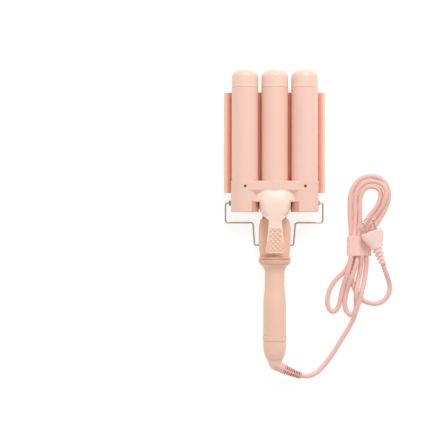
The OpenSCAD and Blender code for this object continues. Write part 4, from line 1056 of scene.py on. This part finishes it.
# %% Plug relief: four rings on a taper, smallest at the cord
sleeve = [[2.2, -44.0], [4.0, -43.8]]
for k in range(4):
    y, r = -42.2 + 5.0 * k, 4.6 + 0.6 * k
    sleeve += [[r - 2.2, y], [r, y + 0.2], [r, y + 3.1], [r - 2.2, y + 3.3]]
sleeve += [[5.9, -22.4], [6.4, -21.0], [0, -21.0]]
sleeve = soft([[0, -44.0]] + sleeve, 0.25, 5)
plug_sleeve = surface("plug_sleeve", "cord_swivel", PLUG, at_plug(spun(sleeve, (0, 0), circle(64))),
                      replaces=["plug_relief"], slot="pink_tie")

# %% Blades: flat bars with a rounded end
blade_half, blade_root, blade_apart = 3.17, -6, 6.35
nose = circle(25, -90, 180, whole=False)
outline = np.concatenate([[[blade_root, -blade_half]],
                          np.stack([11.9 + 4.0 * np.cos(nose), blade_half * np.sin(nose)], axis=1),
                          [[blade_root, blade_half]]])
levels, inset = np.array([-0.75, -0.62, 0.62, 0.75]), np.array([0.12, 0, 0, 0.12])
flat = outline[None] - outward(outline)[None] * inset[:, None, None]
for tag, side in SIDES.items():
    x = np.broadcast_to(side * blade_apart + levels[:, None], flat.shape[:2])
    prong = np.stack([x, flat[..., 0], flat[..., 1]], axis=-1)
    surface("plug_prong_" + tag, "cord_swivel", BLADE, at_plug(prong), ends=True,
                          replaces=["plug_blades"], slot="blade_metal")

# %% [markdown]
# ## Rear housing
# Under the sockets lies a tray that carries the plate, with a tongue back to the neck, two ears for the hinge
# pin and a boss at each side for the stand. The tray is one section lofted along Y: its upper line is the
# lower envelope of a flat top and three troughs, min(top, z - sqrt(r^2 - (x - x_i)^2)).

# %% Tray with its troughs
tray_high = span("rear_housing")[1]
tray_y0, tray_y1, tray_half = 7.0, tray_high[1], 53.5
tray_top, tray_corner = 13.0, 5.0
plate_y0 = plate_low[1]


def tray_upper(x, radius):
    """Flat top with a trough of that radius under each barrel."""
    troughs = [barrel_z - np.sqrt(np.maximum(radius**2 - (x - c) ** 2, 0)) for c in BARRELS.values()]
    return np.minimum(tray_top, np.min(troughs, axis=0))


def columns_across(half, r, count):
    """Places from -half to half, with closer ones where a corner of radius r is rounded."""
    near = half - r * (1 - np.sin(circle(9, 0, 90, whole=False)))
    return np.unique(np.round(np.concatenate([np.linspace(-half, half, count), near, -near]), 4))


def corner_lift(x, half, r):
    """Distance of a rounded corner from its edge's line: r - sqrt(r^2 - d^2), d from where it starts."""
    return r - np.sqrt(np.maximum(r**2 - np.maximum(np.abs(x) - half + r, 0) ** 2, 0))


def between(x, low, high):
    """Section between a lower and an upper line over the same places, as one ring."""
    return np.concatenate([np.stack([x, low], axis=1), np.stack([x, high], axis=1)[::-1]])


tray_x = columns_across(tray_half, tray_corner, 241)
tray_under = corner_lift(tray_x, tray_half, tray_corner)
edge = 0.6
tray_y = np.array([0, 0.1, 0.35, edge, 2, 10, plate_y0 - tray_y0 - 0.05, plate_y0 - tray_y0 + 0.05, 30])
tray_y = np.concatenate([tray_y0 + tray_y, tray_y1 - np.array([edge, 0.35, 0.1, 0])])
rings = []
for y in tray_y:
    upper = tray_upper(tray_x, socket_r + 0.6 if y < plate_y0 else trough_r + plate_t + 0.05)
    ring = between(tray_x, tray_under, upper)
    ring = ring - outward(ring) * rounded_fall(min(y - tray_y0, tray_y1 - y), edge)
    rings.append(np.stack([ring[:, 0], np.full(len(ring), y), ring[:, 1]], axis=1))
surface("rear_tray", "handle", NECK, np.stack(rings), ends=True, replaces=["rear_housing"], slot="tan_neck")

# %% Tongue, ears and bosses
tongue_x = np.unique(np.concatenate([columns_across(15, 1.5, 61), [-6.1, -5.9, 5.9, 6.1]]))
tongue_top = 6.8 + (8.2 - corner_lift(tongue_x, 15, 0.8)) * step_up(np.abs(tongue_x), 5.9, 6.1)
tongue = between(tongue_x, 3.9 + corner_lift(tongue_x, 15, 1.5), tongue_top)
carried("rear_tongue", "handle", NECK, tongue, -6.0, tray_y0 + 0.6, 0.3, replaces=["rear_housing"],
        slot="tan_neck")
pin_low, pin_high = span("hinge_pin")
pin_y, pin_z = (pin_low[1:] + pin_high[1:]) / 2
ear_r, ear_x0, ear_x1 = 5.2, 8.4, 12.2
crown_arc = circle(33, 0, 180, whole=False)
ear = np.concatenate([[[pin_y + 4.0, 14.0], [pin_y + ear_r - 0.6, pin_z - 3]],
                      np.stack([pin_y + ear_r * np.cos(crown_arc), pin_z + ear_r * np.sin(crown_arc)], axis=1),
                      [[pin_y - ear_r, 14.0]]])
pivot_y, pivot_z = 14.3, 6.0
boss_x = np.array([tray_half - 0.5, tray_high[0] - 0.5, tray_high[0] - 0.15, tray_high[0]])
boss_r = np.array([3.2, 3.2, 3.05, 2.7])
for tag, side in SIDES.items():
    x0, x1 = sorted([side * ear_x0, side * ear_x1])
    carried("hinge_ear_" + tag, "handle", NECK, ear, x0, x1, 0.5, along="X", replaces=["rear_housing"],
            slot="tan_neck")
    # Each boss wears the dark tone: painted shade where the wire turns in the tray.
    boss = np.stack([side * boss_x, np.full(4, pivot_y), np.full(4, pivot_z)], axis=1)
    surface("stand_boss_" + tag, "handle", BOSS_SHADE, rings_along(boss, boss_r, 48), ends=True,
            replaces=["rear_housing"], slot="tan_neck")

# %% [markdown]
# ## Stand wire
# One steel wire folds out of the tray as a rest. Its route is a polyline of straight runs, and each corner
# gives way to a true arc: the wire is bent round a pin, so every bend has the same radius.

# %% Stand wire
bends, tilt, lean = [2.6, 2.6, 2.6, 1.5], np.radians(4.9), 2


def bent(points, radius, steps=9):
    """Right-angled corners of a flat polyline become quarter circles, each of its own radius."""
    p, r = np.asarray(points, float), np.asarray(radius, float)[:, None]
    before, after = unit(p[:-2] - p[1:-1]), unit(p[2:] - p[1:-1])
    centre = p[1:-1] + r * (before + after)
    a = np.linspace(0, np.pi / 2, steps)[None, :, None]
    curve = centre[:, None] - r[:, None] * (after[:, None] * np.cos(a) + before[:, None] * np.sin(a))
    return np.concatenate([p[:1], curve.reshape(-1, p.shape[1]), p[-1:]])


outer_x, inner_x, drop, foot = 60.6, 26.4, -24.5, -52.5
half_run = [[tray_half - 3.5, 0], [outer_x, 0], [outer_x, drop], [inner_x, drop], [inner_x, foot]]
flat_run = np.array(half_run + [[-x, y] for x, y in half_run[::-1]])
run_x, run_y = even(bent(flat_run, bends + bends[::-1]), 1.0).T
inner_leg = np.clip((drop - run_y) / (drop - foot), 0, 1) * (np.abs(run_x) > 20)
run_x = run_x - np.sign(run_x) * lean * inner_leg
wire_route = np.stack([run_x, pivot_y + run_y * np.cos(tilt), pivot_z + run_y * np.sin(tilt)], axis=1)
swept("rest_wire", "stand", WIRE, wire_route, 1.1, 16, replaces=["stand_wire"], slot="wire_steel")

# %% [markdown]
# ## Finishes for the solids that stay
# Screws, the pin, the spring and everything inside the shells keep their CAD meshes. Those meshes are loose
# triangles, so a Weld and an Edge Split modifier let round faces shade smoothly without moving a point.

# %% Finishes for solids
SPRING = steel("spring_wire", colour(172, 172, 176), gloss=0.3)
FOIL = steel("clamp_metal", colour(204, 205, 208), gloss=0.45, drawn=(60, 900, 60))
CERAMIC = moulded("heater_ceramic", colour(236, 230, 218), gloss=0.6, clouds=0.08)
BOARD = moulded("board_laminate", colour(38, 92, 60), gloss=0.35, clouds=0.12)
BLACK = moulded("switch_plastic", colour(40, 40, 42), gloss=0.4)
WIRE_DARK = rubber("wire_sleeve_dark", colour(38, 36, 36))
WIRE_PALE = rubber("wire_sleeve_pale", colour(228, 222, 212))
WASHER = moulded("washer_nylon", colour(124, 124, 126), gloss=0.5)
SOLIDS = {
    "return_spring": SPRING, "swivel_retainer": WASHER, "circuit_board": BOARD, "key_switches": BLACK,
    "temperature_display": BLACK, "supply_wires": WIRE_DARK, "heater_wires": WIRE_PALE, "heat_spreaders": FOIL,
    # The barrel screws wear painted shade: the dark of their sunk holes.
    "ceramic_heaters": CERAMIC, "thermal_fuse": CERAMIC, "barrel_screws": DARK, "base_screws": SCREW,
    "grip_screws": SCREW, "plate_screws": SCREW, "hinge_pin": BRIGHT,
}
for node, finish in SOLIDS.items():
    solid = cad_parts[node]
    solid.data.materials.clear()
    solid.data.materials.append(finish)
    solid.data.shade_smooth()
    weld = solid.modifiers.new("weld", "WELD")
    weld.merge_threshold = 1e-6
    split_edges = solid.modifiers.new("split", "EDGE_SPLIT")
    split_edges.split_angle = np.radians(35)
print("finished solids:", len(SOLIDS))

# %% [markdown]
# ## Floor, light and camera
# The waver lies on a white table under wide soft lights, seen from straight above. The camera stands off
# to the left of the waver's axis, because the frame also takes in a stretch of empty table.

# %% Floor
table = bpy.data.meshes.new("table_top")
half_table, table_z = 3.0, -0.0004  # metres
corners = [(x * half_table, y * half_table, table_z) for x, y in ((-1, -1), (1, -1), (1, 1), (-1, 1))]
table.from_pydata(corners, [], [(0, 1, 2, 3)])
floor = placed("table_top", table)
white = Finish("table_white", Roughness=0.9, Specular_IOR_Level=0.1, Emission_Strength=0.7)
tone = white.mix(white.noise(3), (0.4, 0.4, 0.4, 1), (0.42, 0.42, 0.42, 1))
table.materials.append(white.set(Base_Color=tone, Emission_Color=(1, 1, 1, 1)))


# %% Lights
def panel(name, size, power, place, aim):
    """A square area light that faces a point."""
    data = bpy.data.lights.new(name, "AREA")
    data.size, data.energy = size, power
    lamp = placed(name, data)
    lamp.location = place
    direction = np.array(aim) - np.array(place)
    lamp.rotation_mode = "QUATERNION"
    lamp.rotation_quaternion = Vector(direction).to_track_quat("-Z", "Y")


panel("key_panel", 1.2, 27, (0.4, 1.6, 1.4), (0.03, -0.02, 0))
panel("fill_panel", 1.6, 3.5, (-0.7, -0.9, 1.6), (0.03, -0.02, 0))
world = bpy.data.worlds.new("soft_room")
world.use_nodes = True
sky = world.node_tree.nodes["Background"].inputs
sky["Color"].default_value, sky["Strength"].default_value = (1, 1, 1, 1), 0.6
bpy.context.scene.world = world
bpy.context.scene.view_settings.view_transform = "Standard"
bpy.context.scene.view_settings.look = "None"

# %% Camera
FRAME_PX = 447
over_x, over_y = -63.1, -11.1
camera_height, scale_at_barrels = 1600.0, 1.2308  # mm, and mm for one pixel at the barrels' axes
width_on_table = FRAME_PX * scale_at_barrels / (1 - barrel_z / camera_height)
lens = bpy.data.cameras.new("overhead")
lens.sensor_width = 36
lens.lens = 36 * camera_height / width_on_table
camera = placed("overhead", lens)
camera.location = (over_x * MM, over_y * MM, camera_height * MM)
bpy.context.scene.camera = camera
